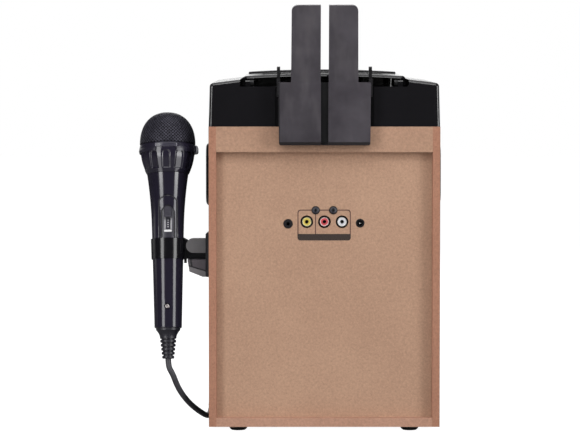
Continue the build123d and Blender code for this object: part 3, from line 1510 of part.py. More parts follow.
def mic_bracket():
    """Wall plate with the wedge under the clip's neck and the round-ended lug behind it."""
    plate = block(
        (half_width, clip_middle.Y - plate_width / 2, plate_z),
        (plate_x, clip_middle.Y + plate_width / 2, plate_z + plate_height),
    )
    outer_face = plate.faces().sort_by(Axis.X)[-1]
    plate = chamfer(outer_face.edges(), 1.2)
    top_z = plate_z + neck_bottom
    wedge = make_face(Polyline(
        (plate_x - 1, plate_z), (plate_x + wedge_foot, plate_z), (plate_x + wedge_nose_reach, plate_z + wedge_nose),
        (plate_x + wedge_reach, top_z), (plate_x - 1, top_z), close=True,
    ))
    wedge = Plane.XZ.offset(-clip_middle.Y) * extrude(wedge, wedge_width / 2, both=True)
    low_z = plate_z + ear_bottom
    end_x = plate_x + ear_reach - ear_height / 2
    ear = make_face(Polyline(
        (plate_x - 1, low_z), (end_x, low_z), (end_x, low_z + ear_height), (plate_x - 1, low_z + ear_height), close=True,
    ))
    ear += Pos(end_x, low_z + ear_height / 2) * Circle(ear_height / 2)
    ear = extrude(Plane.XZ.offset(-clip_middle.Y - fit_gap - ear_thickness) * ear, ear_thickness)
    return plate + wedge + ear


parts["mic_bracket"] = mic_bracket()
parts["mic_clip"] = mic_clip()


# ------------------------------------------------------------------ microphone cord
# From the strain relief down to the floor, forward along the side of the cabinet, round its front corner to the coil.
cord_route = (
    mic_foot, tuple(Vector(*mic_foot) - mic_axis * cord_straight), (151.7, 112.5, 58.1),
    (148.1, 107.0, 46.6), (142.8, 98.0, 35.4), (134.9, 80.0, 22.9),
    (124.8, 48.0, 10.0), (119.9, 16.0, floor_line), (119.3, -10.0, floor_line), (119.4, -36.0, floor_line),
    (119.8, -62.0, floor_line), (121.2, -88.0, floor_line), (120.8, -109.0, floor_line),
    (115.0, -127.0, floor_line), (98.5, -135.3, floor_line), (78.0, -136.9, floor_line),
)
# From the top of the coil down to the plug.
tail_route = ((64.0, -136.9, coil_top), (49.0, -136.8, 14.4), (36.0, -137.0, plug_z), (20.0, -137.0, plug_z))


def bend_radii(route):
    """The largest tangent arc at each corner that its two runs leave room for."""
    radii = []
    for before, here, after in zip(route, route[1:], route[2:]):
        come = Vector(*here) - Vector(*before)
        leave = Vector(*after) - Vector(*here)
        turn = math.radians(come.get_angle(leave))
        radii.append(0.45 * min(come.length, leave.length) / math.tan(turn / 2))
    return radii


def cord_tube(route, name):
    """A round tube along straight runs joined by tangent arcs."""
    radii = bend_radii(route)
    path = FilletPolyline(*route, radius=radii)
    start = Plane(origin=route[0], z_dir=Vector(*route[1]) - Vector(*route[0]))
    tube = sweep(start * Circle(cord_radius), path=path)
    share = tube.volume / (math.pi * cord_radius**2 * path.length)
    print(name, "length", round(path.length, 1), "volume share", round(share, 4), "least radius", round(min(radii), 1))
    return tube


def cord_coil():
    """The outer shape of the neat coil that holds the rest of the lead, with the seats of the two ends that leave it."""
    band = coil_pitch * coil_column_count
    outer = coil_middle_radius + band / 2
    height = coil_pitch * coil_layer_count
    ring = Cylinder(outer, height, align=(Align.CENTER, Align.CENTER, Align.MIN))
    ring -= Cylinder(outer - band, height, align=(Align.CENTER, Align.CENTER, Align.MIN))
    ring = fillet(ring.edges().filter_by(GeomType.CIRCLE), cord_radius * 0.9)
    ring = Pos(*coil_centre, coil_base) * ring
    for tube in cord_tubes:
        ring -= tube
    return ring


def mic_plug():
    """The 6.35 mm plug: boot, handle, collar, and a shaft with its tip and insulating rings."""
    start = tail_route[-1]
    boot = plug_relief_length
    handle = boot + plug_handle_length
    shaft = handle + 3
    tip = shaft + plug_shaft_length
    r = plug_shaft_radius
    plug = turned([
        (0, 0), (cord_radius + 0.6, 0), (plug_handle_radius - 1.6, boot), (plug_handle_radius, boot + 2),
        (plug_handle_radius, handle), (plug_handle_radius - 1.4, handle), (plug_handle_radius - 1.4, shaft), (r, shaft),
        (r, tip - 11), (r - 0.5, tip - 10.6), (r - 0.5, tip - 9.6), (r, tip - 9.2), (r, tip - 7.4),
        (r * 0.62, tip - 5.6), (r * 0.92, tip - 3.4), (r * 0.75, tip - 1.6), (r * 0.3, tip), (0, tip),
    ])
    return Plane(origin=start, x_dir=(0, 1, 0), z_dir=(-1, 0, 0)) * plug


cord_tubes = [cord_tube(cord_route, "cord"), cord_tube(tail_route, "tail")]
parts["mic_cord"] = cord_tubes
parts["cord_coil"] = cord_coil()
parts["mic_plug"] = mic_plug()


os.makedirs("parts", exist_ok=True)
for name, shape in parts.items():
    solids = shape if isinstance(shape, (list, tuple)) else [shape]
    solids = [solid for item in solids for solid in item.solids()]
    export_step(solids[0] if len(solids) == 1 else Compound(children=solids), f"parts/{name}.step")
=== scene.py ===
"""Looks, thin trim, lead and studio for a karaoke machine with a disc tray, seen from behind.

The solids come from model.glb; this script dresses them. Metres, Z up, the back faces +Y.
"""
import math

import bmesh
import bpy
from mathutils import Matrix, Vector

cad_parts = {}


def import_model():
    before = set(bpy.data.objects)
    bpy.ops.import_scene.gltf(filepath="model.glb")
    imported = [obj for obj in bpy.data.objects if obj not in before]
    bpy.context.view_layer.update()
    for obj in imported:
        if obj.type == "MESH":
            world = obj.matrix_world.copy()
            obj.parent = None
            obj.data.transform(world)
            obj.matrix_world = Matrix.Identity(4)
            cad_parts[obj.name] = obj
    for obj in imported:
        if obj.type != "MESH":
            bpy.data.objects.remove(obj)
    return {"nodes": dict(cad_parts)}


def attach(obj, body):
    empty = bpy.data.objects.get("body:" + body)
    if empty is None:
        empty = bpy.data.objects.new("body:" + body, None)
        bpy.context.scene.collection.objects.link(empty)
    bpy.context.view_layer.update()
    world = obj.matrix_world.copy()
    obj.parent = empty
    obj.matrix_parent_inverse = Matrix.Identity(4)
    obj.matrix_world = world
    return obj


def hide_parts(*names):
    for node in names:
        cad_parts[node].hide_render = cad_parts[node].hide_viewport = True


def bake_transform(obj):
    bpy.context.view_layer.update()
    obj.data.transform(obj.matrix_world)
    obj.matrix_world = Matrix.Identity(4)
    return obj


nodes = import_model()["nodes"]
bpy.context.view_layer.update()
scene = bpy.context.scene

# ------------------------------------------------------------------ camera
SENSOR_WIDTH = 36.0  # millimetres
FOCAL_LENGTH, IMAGE_WIDTH = 2057.0, 580.0  # pixels
CAMERA_PLACE = (0.0343, 2.168, 0.2944)
CAMERA_DIP = 2.2  # degrees below level

camera_data = bpy.data.cameras.new("camera")
camera_data.sensor_width = SENSOR_WIDTH
camera_data.lens = FOCAL_LENGTH / IMAGE_WIDTH * SENSOR_WIDTH
camera = bpy.data.objects.new("camera", camera_data)
scene.collection.objects.link(camera)
camera.location = CAMERA_PLACE
camera.rotation_euler = (math.radians(90.0 - CAMERA_DIP), 0.0, math.radians(180.0))
scene.camera = camera
scene.view_settings.view_transform = "Standard"


# ------------------------------------------------------------------ node helpers
class Graph:
    """A new material's node tree, or one handed in, with short calls for the nodes it uses."""

    SOCKETS = {
        "colour": "Base Color", "rough": "Roughness", "metal": "Metallic", "normal": "Normal",
        "spec": "Specular IOR Level", "coat": "Coat Weight", "coat_rough": "Coat Roughness",
        "emission": "Emission Color", "glow": "Emission Strength",
    }

    def __init__(self, name=None, tree=None):
        self.tree = tree
        if tree is None:
            self.material = bpy.data.materials.new(name)
            self.material.use_nodes = True
            self.tree = self.material.node_tree
            self.shader = self.tree.nodes["Principled BSDF"]
            self.place = self.add("ShaderNodeTexCoord").outputs["Object"]

    def add(self, kind, **settings):
        node = self.tree.nodes.new(kind)
        for key, value in settings.items():
            setattr(node, key, value)
        return node

    def link(self, source, target):
        self.tree.links.new(source, target)

    def feed(self, node, index, value):
        if isinstance(value, bpy.types.NodeSocket):
            self.link(value, node.inputs[index])
        elif value is not None:
            node.inputs[index].default_value = value

    def math(self, operation, a, b=None, c=None, clamp=False):
        node = self.add("ShaderNodeMath", operation=operation, use_clamp=clamp)
        for index, value in enumerate((a, b, c)):
            self.feed(node, index, value)
        return node.outputs[0]

    def length(self, a, b):
        """Length of a flat vector from its two coordinates."""
        squares = self.math("ADD", self.math("MULTIPLY", a, a), self.math("MULTIPLY", b, b))
        return self.math("SQRT", squares)

    def noise(self, scale, detail=3.0, rough=0.55, stretch=None):
        place = self.place
        if stretch:
            mapping = self.add("ShaderNodeMapping")
            mapping.inputs["Scale"].default_value = stretch
            self.link(place, mapping.inputs["Vector"])
            place = mapping.outputs[0]
        node = self.add("ShaderNodeTexNoise")
        node.inputs["Scale"].default_value = scale
        node.inputs["Detail"].default_value = detail
        node.inputs["Roughness"].default_value = rough
        self.link(place, node.inputs["Vector"])
        return node.outputs["Fac"]

    def spread(self, value, low, high, to_low=0.0, to_high=1.0):
        """A value from low to high, mapped to the range from to_low to to_high and held at its ends."""
        node = self.add("ShaderNodeMapRange")
        self.link(value, node.inputs["Value"])
        for key, number in (("From Min", low), ("From Max", high), ("To Min", to_low), ("To Max", to_high)):
            node.inputs[key].default_value = number
        return node.outputs[0]

    def window(self, value, low, high, edge):
        """One between two values and nought outside, with soft edges."""
        rise = self.spread(value, low - edge, low + edge)
        fall = self.spread(value, high - edge, high + edge, 1.0, 0.0)
        return self.math("MULTIPLY", rise, fall)

    def mix(self, share, a, b):
        node = self.add("ShaderNodeMix", data_type="RGBA")
        self.feed(node, 0, share)
        for index, value in ((6, a), (7, b)):
            if isinstance(value, tuple):
                value = (*value, 1.0)
            self.feed(node, index, value)
        return node.outputs[2]

    def drift(self, pattern, one, other, low=0.35, high=0.65):
        """Two tones that run into each other as a noise rises from low to high."""
        return self.mix(self.spread(pattern, low, high), one, other)

    def axis(self, name, place=None):
        node = self.add("ShaderNodeSeparateXYZ")
        self.link(place or self.place, node.inputs[0])
        return node.outputs[name]

    def along(self, origin, basis):
        """Place in a turned frame, as its three coordinates."""
        offset = self.add("ShaderNodeVectorMath", operation="SUBTRACT")
        self.link(self.place, offset.inputs[0])
        offset.inputs[1].default_value = tuple(origin)
        turn = self.add("ShaderNodeVectorRotate", rotation_type="EULER_XYZ", invert=True)
        self.link(offset.outputs[0], turn.inputs["Vector"])
        turn.inputs["Rotation"].default_value = tuple(basis.to_euler("XYZ"))
        return [self.axis(name, turn.outputs[0]) for name in "XYZ"]

    def bump(self, height, distance, strength=1.0, under=None):
        node = self.add("ShaderNodeBump")
        node.inputs["Distance"].default_value = distance
        node.inputs["Strength"].default_value = strength
        self.link(height, node.inputs["Height"])
        if under is not None:
            self.link(under, node.inputs["Normal"])
        return node.outputs[0]

    def set(self, **values):
        """Values and links on the shader's own sockets; returns the material."""
        for key, value in values.items():
            socket = self.shader.inputs[self.SOCKETS[key]]
            if isinstance(value, bpy.types.NodeSocket):
                self.link(value, socket)
            elif isinstance(value, tuple):
                socket.default_value = (*value, 1.0)
            else:
                socket.default_value = value
        return self.material


def shade(colour, factor):
    return tuple(part * factor for part in colour)


def moulded(name, colour, rough, grain=900.0, depth=0.00002, mottle=0.12, coat=0.0, spec=0.5):
    """Moulded plastic: fine spark-eroded grain, slow colour drift, handling smears in the roughness."""
    g = Graph(name)
    tone = g.drift(g.noise(18.0, 4.0), shade(colour, 1 - mottle), shade(colour, 1 + mottle))
    smear = g.noise(40.0, 5.0, 0.65)
    return g.set(
        colour=tone, rough=g.spread(smear, 0.3, 0.7, *rough), spec=spec, coat=coat, coat_rough=0.08,
        normal=g.bump(g.noise(grain, 2.0), depth),
    )


def metal(name, colour, rough, brush=None):
    """Metal with brushed or tumbled micro-scratches."""
    g = Graph(name)
    marks = g.noise(420.0, 3.0, 0.6, stretch=brush)
    return g.set(
        colour=g.drift(g.noise(35.0, 4.0), colour, shade(colour, 0.82), 0.35, 0.7), metal=1.0,
        rough=g.spread(marks, 0.3, 0.7, *rough), normal=g.bump(marks, 0.00001),
    )


FIBRE_DEPTH, FIBRE_STRENGTH, FIBRE_ROUGH = 0.00006, 0.5, 0.86


def board_tone(g, base, light):
    """Colour and relief of bare fibreboard: slow mottling, short fibres, fine specks and coarser grit."""
    fibre = g.noise(700.0, 4.0, 0.7)
    speck = g.noise(1500.0, 2.0, 0.6)
    grit = g.noise(430.0, 2.0, 0.65)
    dark, pale = shade(base, 0.72), shade(light, 1.22)
    tone = g.drift(g.noise(9.0, 4.0, 0.6), base, light, 0.3, 0.7)
    tone = g.mix(g.spread(fibre, 0.54, 0.72, 0.0, 0.5), tone, dark)
    tone = g.mix(g.spread(speck, 0.56, 0.76, 0.0, 0.55), tone, pale)
    tone = g.mix(g.spread(grit, 0.52, 0.72, 0.0, 0.42), tone, dark)
    tone = g.mix(g.spread(grit, 0.32, 0.48, 0.36, 0.0), tone, pale)
    return tone, g.math("ADD", g.math("MULTIPLY", fibre, 0.7), g.math("MULTIPLY", speck, 0.3))


def fibreboard(name, base, light):
    g = Graph(name)
    tone, height = board_tone(g, base, light)
    normal = g.bump(height, FIBRE_DEPTH, FIBRE_STRENGTH)
    return g.set(colour=tone, rough=FIBRE_ROUGH, spec=0.25, normal=normal)


def laminated(name, base, light, skin, skin_from, skin_whole):
    """Fibreboard with a thin grained vinyl skin where it lies further than skin_from from the middle in X."""
    g = Graph(name)
    tone, height = board_tone(g, base, light)
    mask = g.spread(g.math("ABSOLUTE", g.axis("X")), skin_from, skin_whole)
    cells = g.add("ShaderNodeTexVoronoi", feature="DISTANCE_TO_EDGE")
    cells.inputs["Scale"].default_value = 650.0
    g.link(g.place, cells.inputs["Vector"])
    leather = g.spread(cells.outputs["Distance"], 0.0, 0.3)
    skin_tone = g.drift(g.noise(14.0, 4.0), shade(skin, 0.8), skin)
    relief = g.math("ADD", g.math("MULTIPLY", height, 0.6),
                    g.math("MULTIPLY", leather, g.math("MULTIPLY", mask, 0.5)))
    return g.set(
        colour=g.mix(mask, tone, skin_tone), rough=g.spread(mask, 0.0, 1.0, FIBRE_ROUGH, 0.42), spec=0.4,
        normal=g.bump(relief, FIBRE_DEPTH, FIBRE_STRENGTH),
    )


def dress(material, *names):
    """One material, and no other, on each named solid."""
    for name in names:
        slots = nodes[name].data.materials
        slots.clear()
        slots.append(material)


# ------------------------------------------------------------------ piece helpers
def piece(name, vertices, faces, material, body, matrix, smooth=False):
    """A mesh of the scene's own that rides on a body."""
    mesh = bpy.data.meshes.new(name)
    mesh.from_pydata(vertices, [], faces)
    work = bmesh.new()
    work.from_mesh(mesh)
    bmesh.ops.remove_doubles(work, verts=work.verts, dist=1e-7)
    bmesh.ops.recalc_face_normals(work, faces=work.faces)
    work.to_mesh(mesh)
    work.free()
    mesh.transform(matrix)
    mesh.materials.append(material)
    mesh.polygons.foreach_set("use_smooth", [smooth] * len(mesh.polygons))
    made = bpy.data.objects.new(name, mesh)
    scene.collection.objects.link(made)
    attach(made, body)
    return made


def slab(name, outlines, low, high, material, body, matrix):
    """Flat trim: each closed (x, y) outline raised from low to high."""
    vertices, faces = [], []
    for outline in outlines:
        start, count = len(vertices), len(outline)
        vertices += [(x, y, low) for x, y in outline] + [(x, y, high) for x, y in outline]
        faces.append(list(range(start, start + count)))
        faces.append(list(range(start + count, start + 2 * count)))
        for index in range(count):
            after = (index + 1) % count
            faces.append((start + index, start + after, start + count + after, start + count + index))
    return piece(name, vertices, faces, material, body, matrix)


def turned(name, outline, material, body, matrix, steps):
    """A piece of revolution about local Z from a (radius, height) outline."""
    vertices, faces = [], []
    for step in range(steps):
        angle = 2 * math.pi * step / steps
        vertices += [(r * math.cos(angle), r * math.sin(angle), h) for r, h in outline]
    count = len(outline)
    for step in range(steps):
        here, there = step * count, (step + 1) % steps * count
        for index in range(count - 1):
            faces.append((here + index, there + index, there + index + 1, here + index + 1))
    return piece(name, vertices, faces, material, body, matrix, smooth=True)


def oblong(low_x, low_y, high_x, high_y):
    return [(low_x, low_y), (high_x, low_y), (high_x, high_y), (low_x, high_y)]


def rounded(low_x, low_y, high_x, high_y, radii, steps=6):
    """A rectangle with its own radius at each corner, from the lower left one round."""
    points = []
    corners = ((low_x, low_y, 1, 1), (high_x, low_y, -1, 1), (high_x, high_y, -1, -1), (low_x, high_y, 1, -1))
    for quarter, ((x, y, sx, sy), radius) in enumerate(zip(corners, radii)):
        for step in range(steps + 1):
            angle = math.pi + quarter * math.pi / 2 + math.pi / 2 * step / steps
            points.append((x + sx * radius + radius * math.cos(angle),
                           y + sy * radius + radius * math.sin(angle)))
    return points


def disc(x, y, radius):
    turns = [2 * math.pi * step / 12 for step in range(12)]
    return [(x + radius * math.cos(turn), y + radius * math.sin(turn)) for turn in turns]


def arc_band(centre, inner, outer, start, end):
    """A closed outline of part of a ring, with angles in degrees."""
    steps = 10
    turns = [math.radians(start + (end - start) * step / steps) for step in range(steps + 1)]
    out = [(centre[0] + outer * math.cos(t), centre[1] + outer * math.sin(t)) for t in turns]
    back = [(centre[0] + inner * math.cos(t), centre[1] + inner * math.sin(t)) for t in reversed(turns)]
    return out + back


def band(outside, inside):
    """A ring between two outlines with the same number of points, as one outline for each of its sides."""
    count = len(outside)
    return [(outside[i], outside[(i + 1) % count], inside[(i + 1) % count], inside[i]) for i in range(count)]


def eased(share):
    """A share held between nought and one, with soft ends."""
    share = min(1.0, max(0.0, share))
    return share * share * (3 - 2 * share)


# ------------------------------------------------------------------ cabinet
SKIN_FROM, SKIN_WHOLE = 0.11532, 0.11544  # from the middle: where the side boards' skin starts, and is whole

dress(fibreboard("back_board", (0.440, 0.268, 0.182), (0.520, 0.325, 0.222)), "back_panel")
dress(fibreboard("rail_board", (0.420, 0.252, 0.170), (0.490, 0.300, 0.205)), "top_rail")
dress(fibreboard("bottom_board", (0.470, 0.262, 0.184), (0.550, 0.318, 0.226)), "bottom_panel")
dress(laminated("side_board", (0.385, 0.182, 0.116), (0.445, 0.220, 0.143), (0.018, 0.017, 0.019),
                SKIN_FROM, SKIN_WHOLE), "side_panel_right", "side_panel_left")
dress(moulded("baffle_skin", (0.016, 0.015, 0.017), (0.32, 0.5), 650.0, 0.00005), "front_baffle")
dress(moulded("feet_rubber", (0.012, 0.012, 0.012), (0.6, 0.8), 500.0, 0.00005), "feet")
dress(moulded("handle_plastic", (0.013, 0.0125, 0.014), (0.22, 0.34), 1100.0, 0.000012, coat=0.15),
      "handle_right", "handle_left")
dress(moulded("ring_diffuser", (0.72, 0.73, 0.75), (0.3, 0.42), 900.0, 0.00001, 0.03), "light_ring")
dress(moulded("grille_powder", (0.014, 0.014, 0.015), (0.45, 0.6), 1400.0, 0.00004), "speaker_grille")
dress(metal("driver_steel", (0.05, 0.05, 0.05), (0.4, 0.55)), "speaker_driver")
dress(moulded("cone_paper", (0.03, 0.03, 0.031), (0.7, 0.9), 700.0, 0.00008, 0.2), "speaker_cone")

# ------------------------------------------------------------------ top housing, lid and mechanism
GLOSS_BLACK = (0.0088, 0.0084, 0.0100)

dress(moulded("housing_gloss", GLOSS_BLACK, (0.11, 0.18), 140.0, 0.000004, 0.05, coat=0.25), "top_housing")
dress(moulded("lid_gloss", (0.0095, 0.009, 0.011), (0.035, 0.055), 140.0, 0.000001, 0.05), "disc_lid")
dress(moulded("hinge_plastic", (0.014, 0.014, 0.015), (0.35, 0.5)), "lid_hinge_arms")
dress(moulded("well_plastic", (0.03, 0.03, 0.032), (0.42, 0.58), 1000.0, 0.00004), "disc_tray")
dress(metal("chassis_zinc", (0.55, 0.56, 0.58), (0.3, 0.5)), "disc_chassis")
dress(metal("rod_steel", (0.75, 0.75, 0.77), (0.08, 0.16), (1.0, 0.05, 1.0)), "sled_rods")
dress(metal("motor_can", (0.6, 0.6, 0.61), (0.25, 0.4), (1.0, 1.0, 8.0)), "spindle_motor")
dress(moulded("hub_plastic", (0.05, 0.05, 0.052), (0.35, 0.5)), "disc_hub")
dress(moulded("sled_plastic", (0.04, 0.04, 0.043), (0.4, 0.55)), "laser_sled")
dress(moulded("lid_button_gloss", (0.035, 0.035, 0.038), (0.15, 0.25), 200.0, 0.00001), "lid_button")
dress(moulded("panel_gloss", (0.013, 0.013, 0.015), (0.1, 0.18), 160.0, 0.00001, coat=0.3), "control_panel")
dress(moulded("button_silver", (0.42, 0.43, 0.45), (0.22, 0.32), 500.0, 0.00001, 0.05),
      "button_power", "button_play", "button_stop", "button_back", "button_next")
dress(moulded("knob_satin", (0.02, 0.02, 0.021), (0.32, 0.45), 1100.0, 0.00003),
      "knob_microphone", "knob_echo", "knob_volume")
dress(metal("jack_nickel", (0.72, 0.71, 0.69), (0.12, 0.22)), "mic_jacks", "jack_contacts", "mic_plug")
dress(moulded("board_resist", (0.02, 0.11, 0.05), (0.3, 0.45), 600.0, 0.00002, 0.25),
      "control_board", "jack_board")


def clear_gloss(name, scale, one, other, rough, coat):
    """A smooth coated face whose tone drifts between two colours."""
    g = Graph(name)
    tone = g.drift(g.noise(scale), one, other, 0.3, 0.7)
    return g.set(colour=tone, rough=rough, coat=coat, coat_rough=0.03)


dress(clear_gloss("lens_coat", 300.0, (0.25, 0.2, 0.5), (0.3, 0.26, 0.56), 0.05, 1.0), "laser_lens")
dress(clear_gloss("window_smoked", 60.0, (0.02, 0.004, 0.005), (0.028, 0.006, 0.007), 0.06, 0.6),
      "display_window")

# ------------------------------------------------------------------ printed marks on the control panel
PRINT_THICKNESS = 0.00004
PANEL_MIDDLE, PANEL_SLOPE = (0.0, -0.081764, 0.343728), math.atan2(0.034, 0.068)
KNOB_XS = (0.0190, 0.0395, 0.0600)
TICK_COUNT, TICK_START, TICK_TURN = 11, -135.0, 27.0  # degrees
TICK_FROM, TICK_LONG, TICK_SHORT, TICK_HALF_WIDTH = 0.0098, 0.0118, 0.0111, 0.00018
SIGN_Y, SIGN_HALF = -0.0052, 0.0014

marks = moulded("panel_marks", (0.55, 0.56, 0.58), (0.4, 0.55), 900.0, 0.00001, 0.03)
panel_face = Matrix.Translation(PANEL_MIDDLE) @ Matrix.Rotation(PANEL_SLOPE, 4, "X")
ticks = []
for knob_x in KNOB_XS:
    knob = Vector((knob_x, 0.0))
    for step in range(TICK_COUNT):
        angle = math.radians(TICK_START + TICK_TURN * step + 90.0)
        ray = Vector((math.cos(angle), math.sin(angle)))
        side = Vector((-math.sin(angle), math.cos(angle))) * TICK_HALF_WIDTH
        near, far = knob + ray * TICK_FROM, knob + ray * (TICK_LONG if step % 5 == 0 else TICK_SHORT)
        ticks.append([tuple(near - side), tuple(far - side), tuple(far + side), tuple(near + side)])
slab("knob_scales", ticks, 0.0, PRINT_THICKNESS, marks, "cabinet", panel_face)


def arrow(x, way):
    return [(x - way * SIGN_HALF, SIGN_Y - SIGN_HALF), (x + way * SIGN_HALF, SIGN_Y),
            (x - way * SIGN_HALF, SIGN_Y + SIGN_HALF)]


def bar(x):
    return oblong(x - 0.0003, SIGN_Y - SIGN_HALF, x + 0.0003, SIGN_Y + SIGN_HALF)


power_sign = [arc_band((-0.054, SIGN_Y), 0.0013, 0.0017, 125, 415),
              oblong(-0.0542, SIGN_Y, -0.0538, SIGN_Y + 0.0021)]
stop_sign = oblong(-0.0262, SIGN_Y - 0.0012, -0.0238, SIGN_Y + 0.0012)
signs = power_sign + [arrow(-0.038, 1), stop_sign]
signs += [arrow(-0.0115, -1), bar(-0.0136), arrow(0.0005, 1), bar(0.0026)]
slab("button_signs", signs, 0.0, PRINT_THICKNESS, marks, "cabinet", panel_face)

# ------------------------------------------------------------------ rear sockets
PHONO_X, PHONO_PITCH, PHONO_Z = -0.0002, 0.01766, 0.2110
BORE_RADIUS, RIM_RADIUS = (0.00178, 0.00192), (0.0034, 0.0038)
JACK_SCREW_Z, SCREW_RECESS, SCREW_EDGE = 0.2226, (0.0011, 0.0015), (0.0030, 0.0034)

dress(moulded("socket_plastic", (0.0085, 0.0075, 0.0095), (0.3, 0.45)), "phono_block", "aux_jack", "dc_jack")


def radial(g, middle_x, half_pitch, middle_z):
    """Distance from the nearer of two axes along Y, or from one where half_pitch is 0."""
    across = g.math("ABSOLUTE", g.math("SUBTRACT", g.axis("X"), middle_x))
    across = g.math("SUBTRACT", across, half_pitch)
    return g.length(across, g.math("SUBTRACT", g.axis("Z"), middle_z))


def phono_insulator(name, colour, rim_colour, middle_x):
    """Coloured socket plastic with a paler rim, and its bore painted near black as painted shade."""
    g = Graph(name)
    reach = radial(g, middle_x, 0.0, PHONO_Z)
    tone = g.drift(g.noise(300.0), shade(colour, 0.9), colour, 0.3, 0.7)
    tone = g.mix(g.spread(reach, *RIM_RADIUS), tone, rim_colour)
    # Painted shade: the bore filled with near black.
    tone = g.mix(g.spread(reach, *BORE_RADIUS, 1.0, 0.0), tone, (0.012, 0.012, 0.018))
    return g.set(
        colour=tone, rough=g.spread(g.noise(900.0), 0.3, 0.7, 0.32, 0.48),
        normal=g.bump(g.noise(1200.0), 0.00001),
    )


for colour_name, colour, rim_colour, middle_x in (
    ("yellow", (0.70, 0.55, 0.10), (0.80, 0.72, 0.36), PHONO_X + PHONO_PITCH),
    ("red", (0.66, 0.085, 0.10), (0.84, 0.62, 0.60), PHONO_X),
    ("white", (0.74, 0.74, 0.78), (0.88, 0.87, 0.86), PHONO_X - PHONO_PITCH),
):
    dress(phono_insulator(f"phono_{colour_name}", colour, rim_colour, middle_x), f"phono_ring_{colour_name}")


def black_oxide():
    """Blackened screw heads, rubbed paler on their flats."""
    g = Graph("screw_black_oxide")
    reach = radial(g, PHONO_X, PHONO_PITCH / 2, JACK_SCREW_Z)
    flat = g.math("MULTIPLY", g.spread(reach, *SCREW_RECESS), g.spread(reach, *SCREW_EDGE, 1.0, 0.0))
    scratch = g.noise(2600.0, 3.0)
    worn = g.math("MULTIPLY", flat, g.spread(scratch, 0.3, 0.6, 0.6, 1.0))
    return g.set(
        colour=g.mix(worn, (0.006, 0.005, 0.006), (0.036, 0.035, 0.047)), metal=0.2,
        rough=g.spread(scratch, 0.3, 0.7, 0.34, 0.5),
    )


dress(black_oxide(), "jack_screws")


def ink(name, one, other, rough, spec):
    """Printed ink, thin enough to show the board's grain as patches."""
    g = Graph(name)
    return g.set(colour=g.drift(g.noise(1500.0, 4.0, 0.7), one, other, 0.35, 0.7), rough=rough, spec=spec)


# The print round the sockets: a rounded frame, a line between two of them, and a bar with a notch.
FRAME_LOW_X, FRAME_HIGH_X, FRAME_LOW_Z, FRAME_HIGH_Z = -0.0266, 0.0268, 0.1923, 0.2232
LINE_WIDTH, FRAME_RADIUS, FRAME_INNER_RADIUS = 0.0010, 0.003, 0.0025
BAR_HIGH_Z, BAR_LOW_RADIUS, BAR_HIGH_RADIUS = 0.1988, 0.0028, 0.0001
DIVIDER_XS, DIVIDER_HIGH_Z = (0.0083, 0.0092), 0.2188
NOTCH_XS, NOTCH_HIGH_Z = (0.0078, 0.0085, 0.0092), 0.1933
BACK_Y, FRAME_INK, BAR_INK = 0.10902, -0.00006, -0.00008  # where the print starts, and each one's thickness

brown_ink = ink("panel_ink", (0.085, 0.042, 0.036), (0.150, 0.080, 0.066), 0.7, 0.2)
dark_ink = ink("panel_ink_dark", (0.036, 0.026, 0.022), (0.060, 0.044, 0.038), 0.65, 0.25)
back_face = Matrix(((1, 0, 0, 0), (0, 0, -1, BACK_Y), (0, 1, 0, 0), (0, 0, 0, 1)))
outer_edge = rounded(FRAME_LOW_X, FRAME_LOW_Z, FRAME_HIGH_X, FRAME_HIGH_Z, (FRAME_RADIUS,) * 4)
inner_edge = rounded(FRAME_LOW_X + LINE_WIDTH, FRAME_LOW_Z + LINE_WIDTH, FRAME_HIGH_X - LINE_WIDTH,
                     FRAME_HIGH_Z - LINE_WIDTH, (FRAME_INNER_RADIUS,) * 4)
divider = oblong(DIVIDER_XS[0], BAR_HIGH_Z, DIVIDER_XS[1], DIVIDER_HIGH_Z)
slab("socket_frame", band(outer_edge, inner_edge) + [divider], FRAME_INK, 0.0, brown_ink,
     "cabinet", back_face)
socket_bar = rounded(FRAME_LOW_X, FRAME_LOW_Z, FRAME_HIGH_X, BAR_HIGH_Z,
                     (BAR_LOW_RADIUS, BAR_LOW_RADIUS, BAR_HIGH_RADIUS, BAR_HIGH_RADIUS))
socket_bar[7:7] = zip(NOTCH_XS, (FRAME_LOW_Z, NOTCH_HIGH_Z, FRAME_LOW_Z))
slab("socket_bar", [socket_bar], BAR_INK, 0.0, dark_ink, "cabinet", back_face)


# ------------------------------------------------------------------ tablet holder and microphone bracket
def holder_satin():
    """Satin plastic with cloudy handling marks whose paler streaks also stand in for its sheen, and painted
    shade on the body's rounded foot and the lower part of its left edge.
    """
    foot_heights, lower_heights, left_xs = (0.2904, 0.2911), (0.3490, 0.3510), (0.0438, 0.0446)
    g = Graph("holder_satin")
    x, height = g.axis("X"), g.axis("Z")
    # Stretched paler streaks: partly handling marks, partly painted sheen.
    smear_and_sheen = g.noise(26.0, 3.0, 0.6, stretch=(1.6, 1.0, 0.5))
    tone = g.drift(g.noise(16.0, 4.0, 0.6), (0.037, 0.032, 0.039), (0.078, 0.070, 0.082), 0.36, 0.66)
    tone = g.mix(g.spread(smear_and_sheen, 0.52, 0.72, 0.0, 0.5), tone, (0.120, 0.110, 0.118))
    # Painted shade: the rounded foot and the lower left edge, darkened as edges turned away from the light.
    foot = g.spread(height, *foot_heights, 1.0, 0.0)
    lower_part = g.spread(height, *lower_heights, 1.0, 0.0)
    left_edge = g.math("MULTIPLY", g.spread(x, *left_xs), lower_part)
    painted_edge_shade = g.math("MULTIPLY", g.math("MAXIMUM", foot, left_edge), 0.85)
    return g.set(
        # Near black painted shade over the foot and left edge.
        colour=g.mix(painted_edge_shade, tone, (0.008, 0.0075, 0.009)),
        rough=g.spread(g.noise(22.0, 5.0, 0.65), 0.3, 0.7, 0.28, 0.46),
        normal=g.bump(g.noise(1300.0, 2.0), 0.00003),
    )


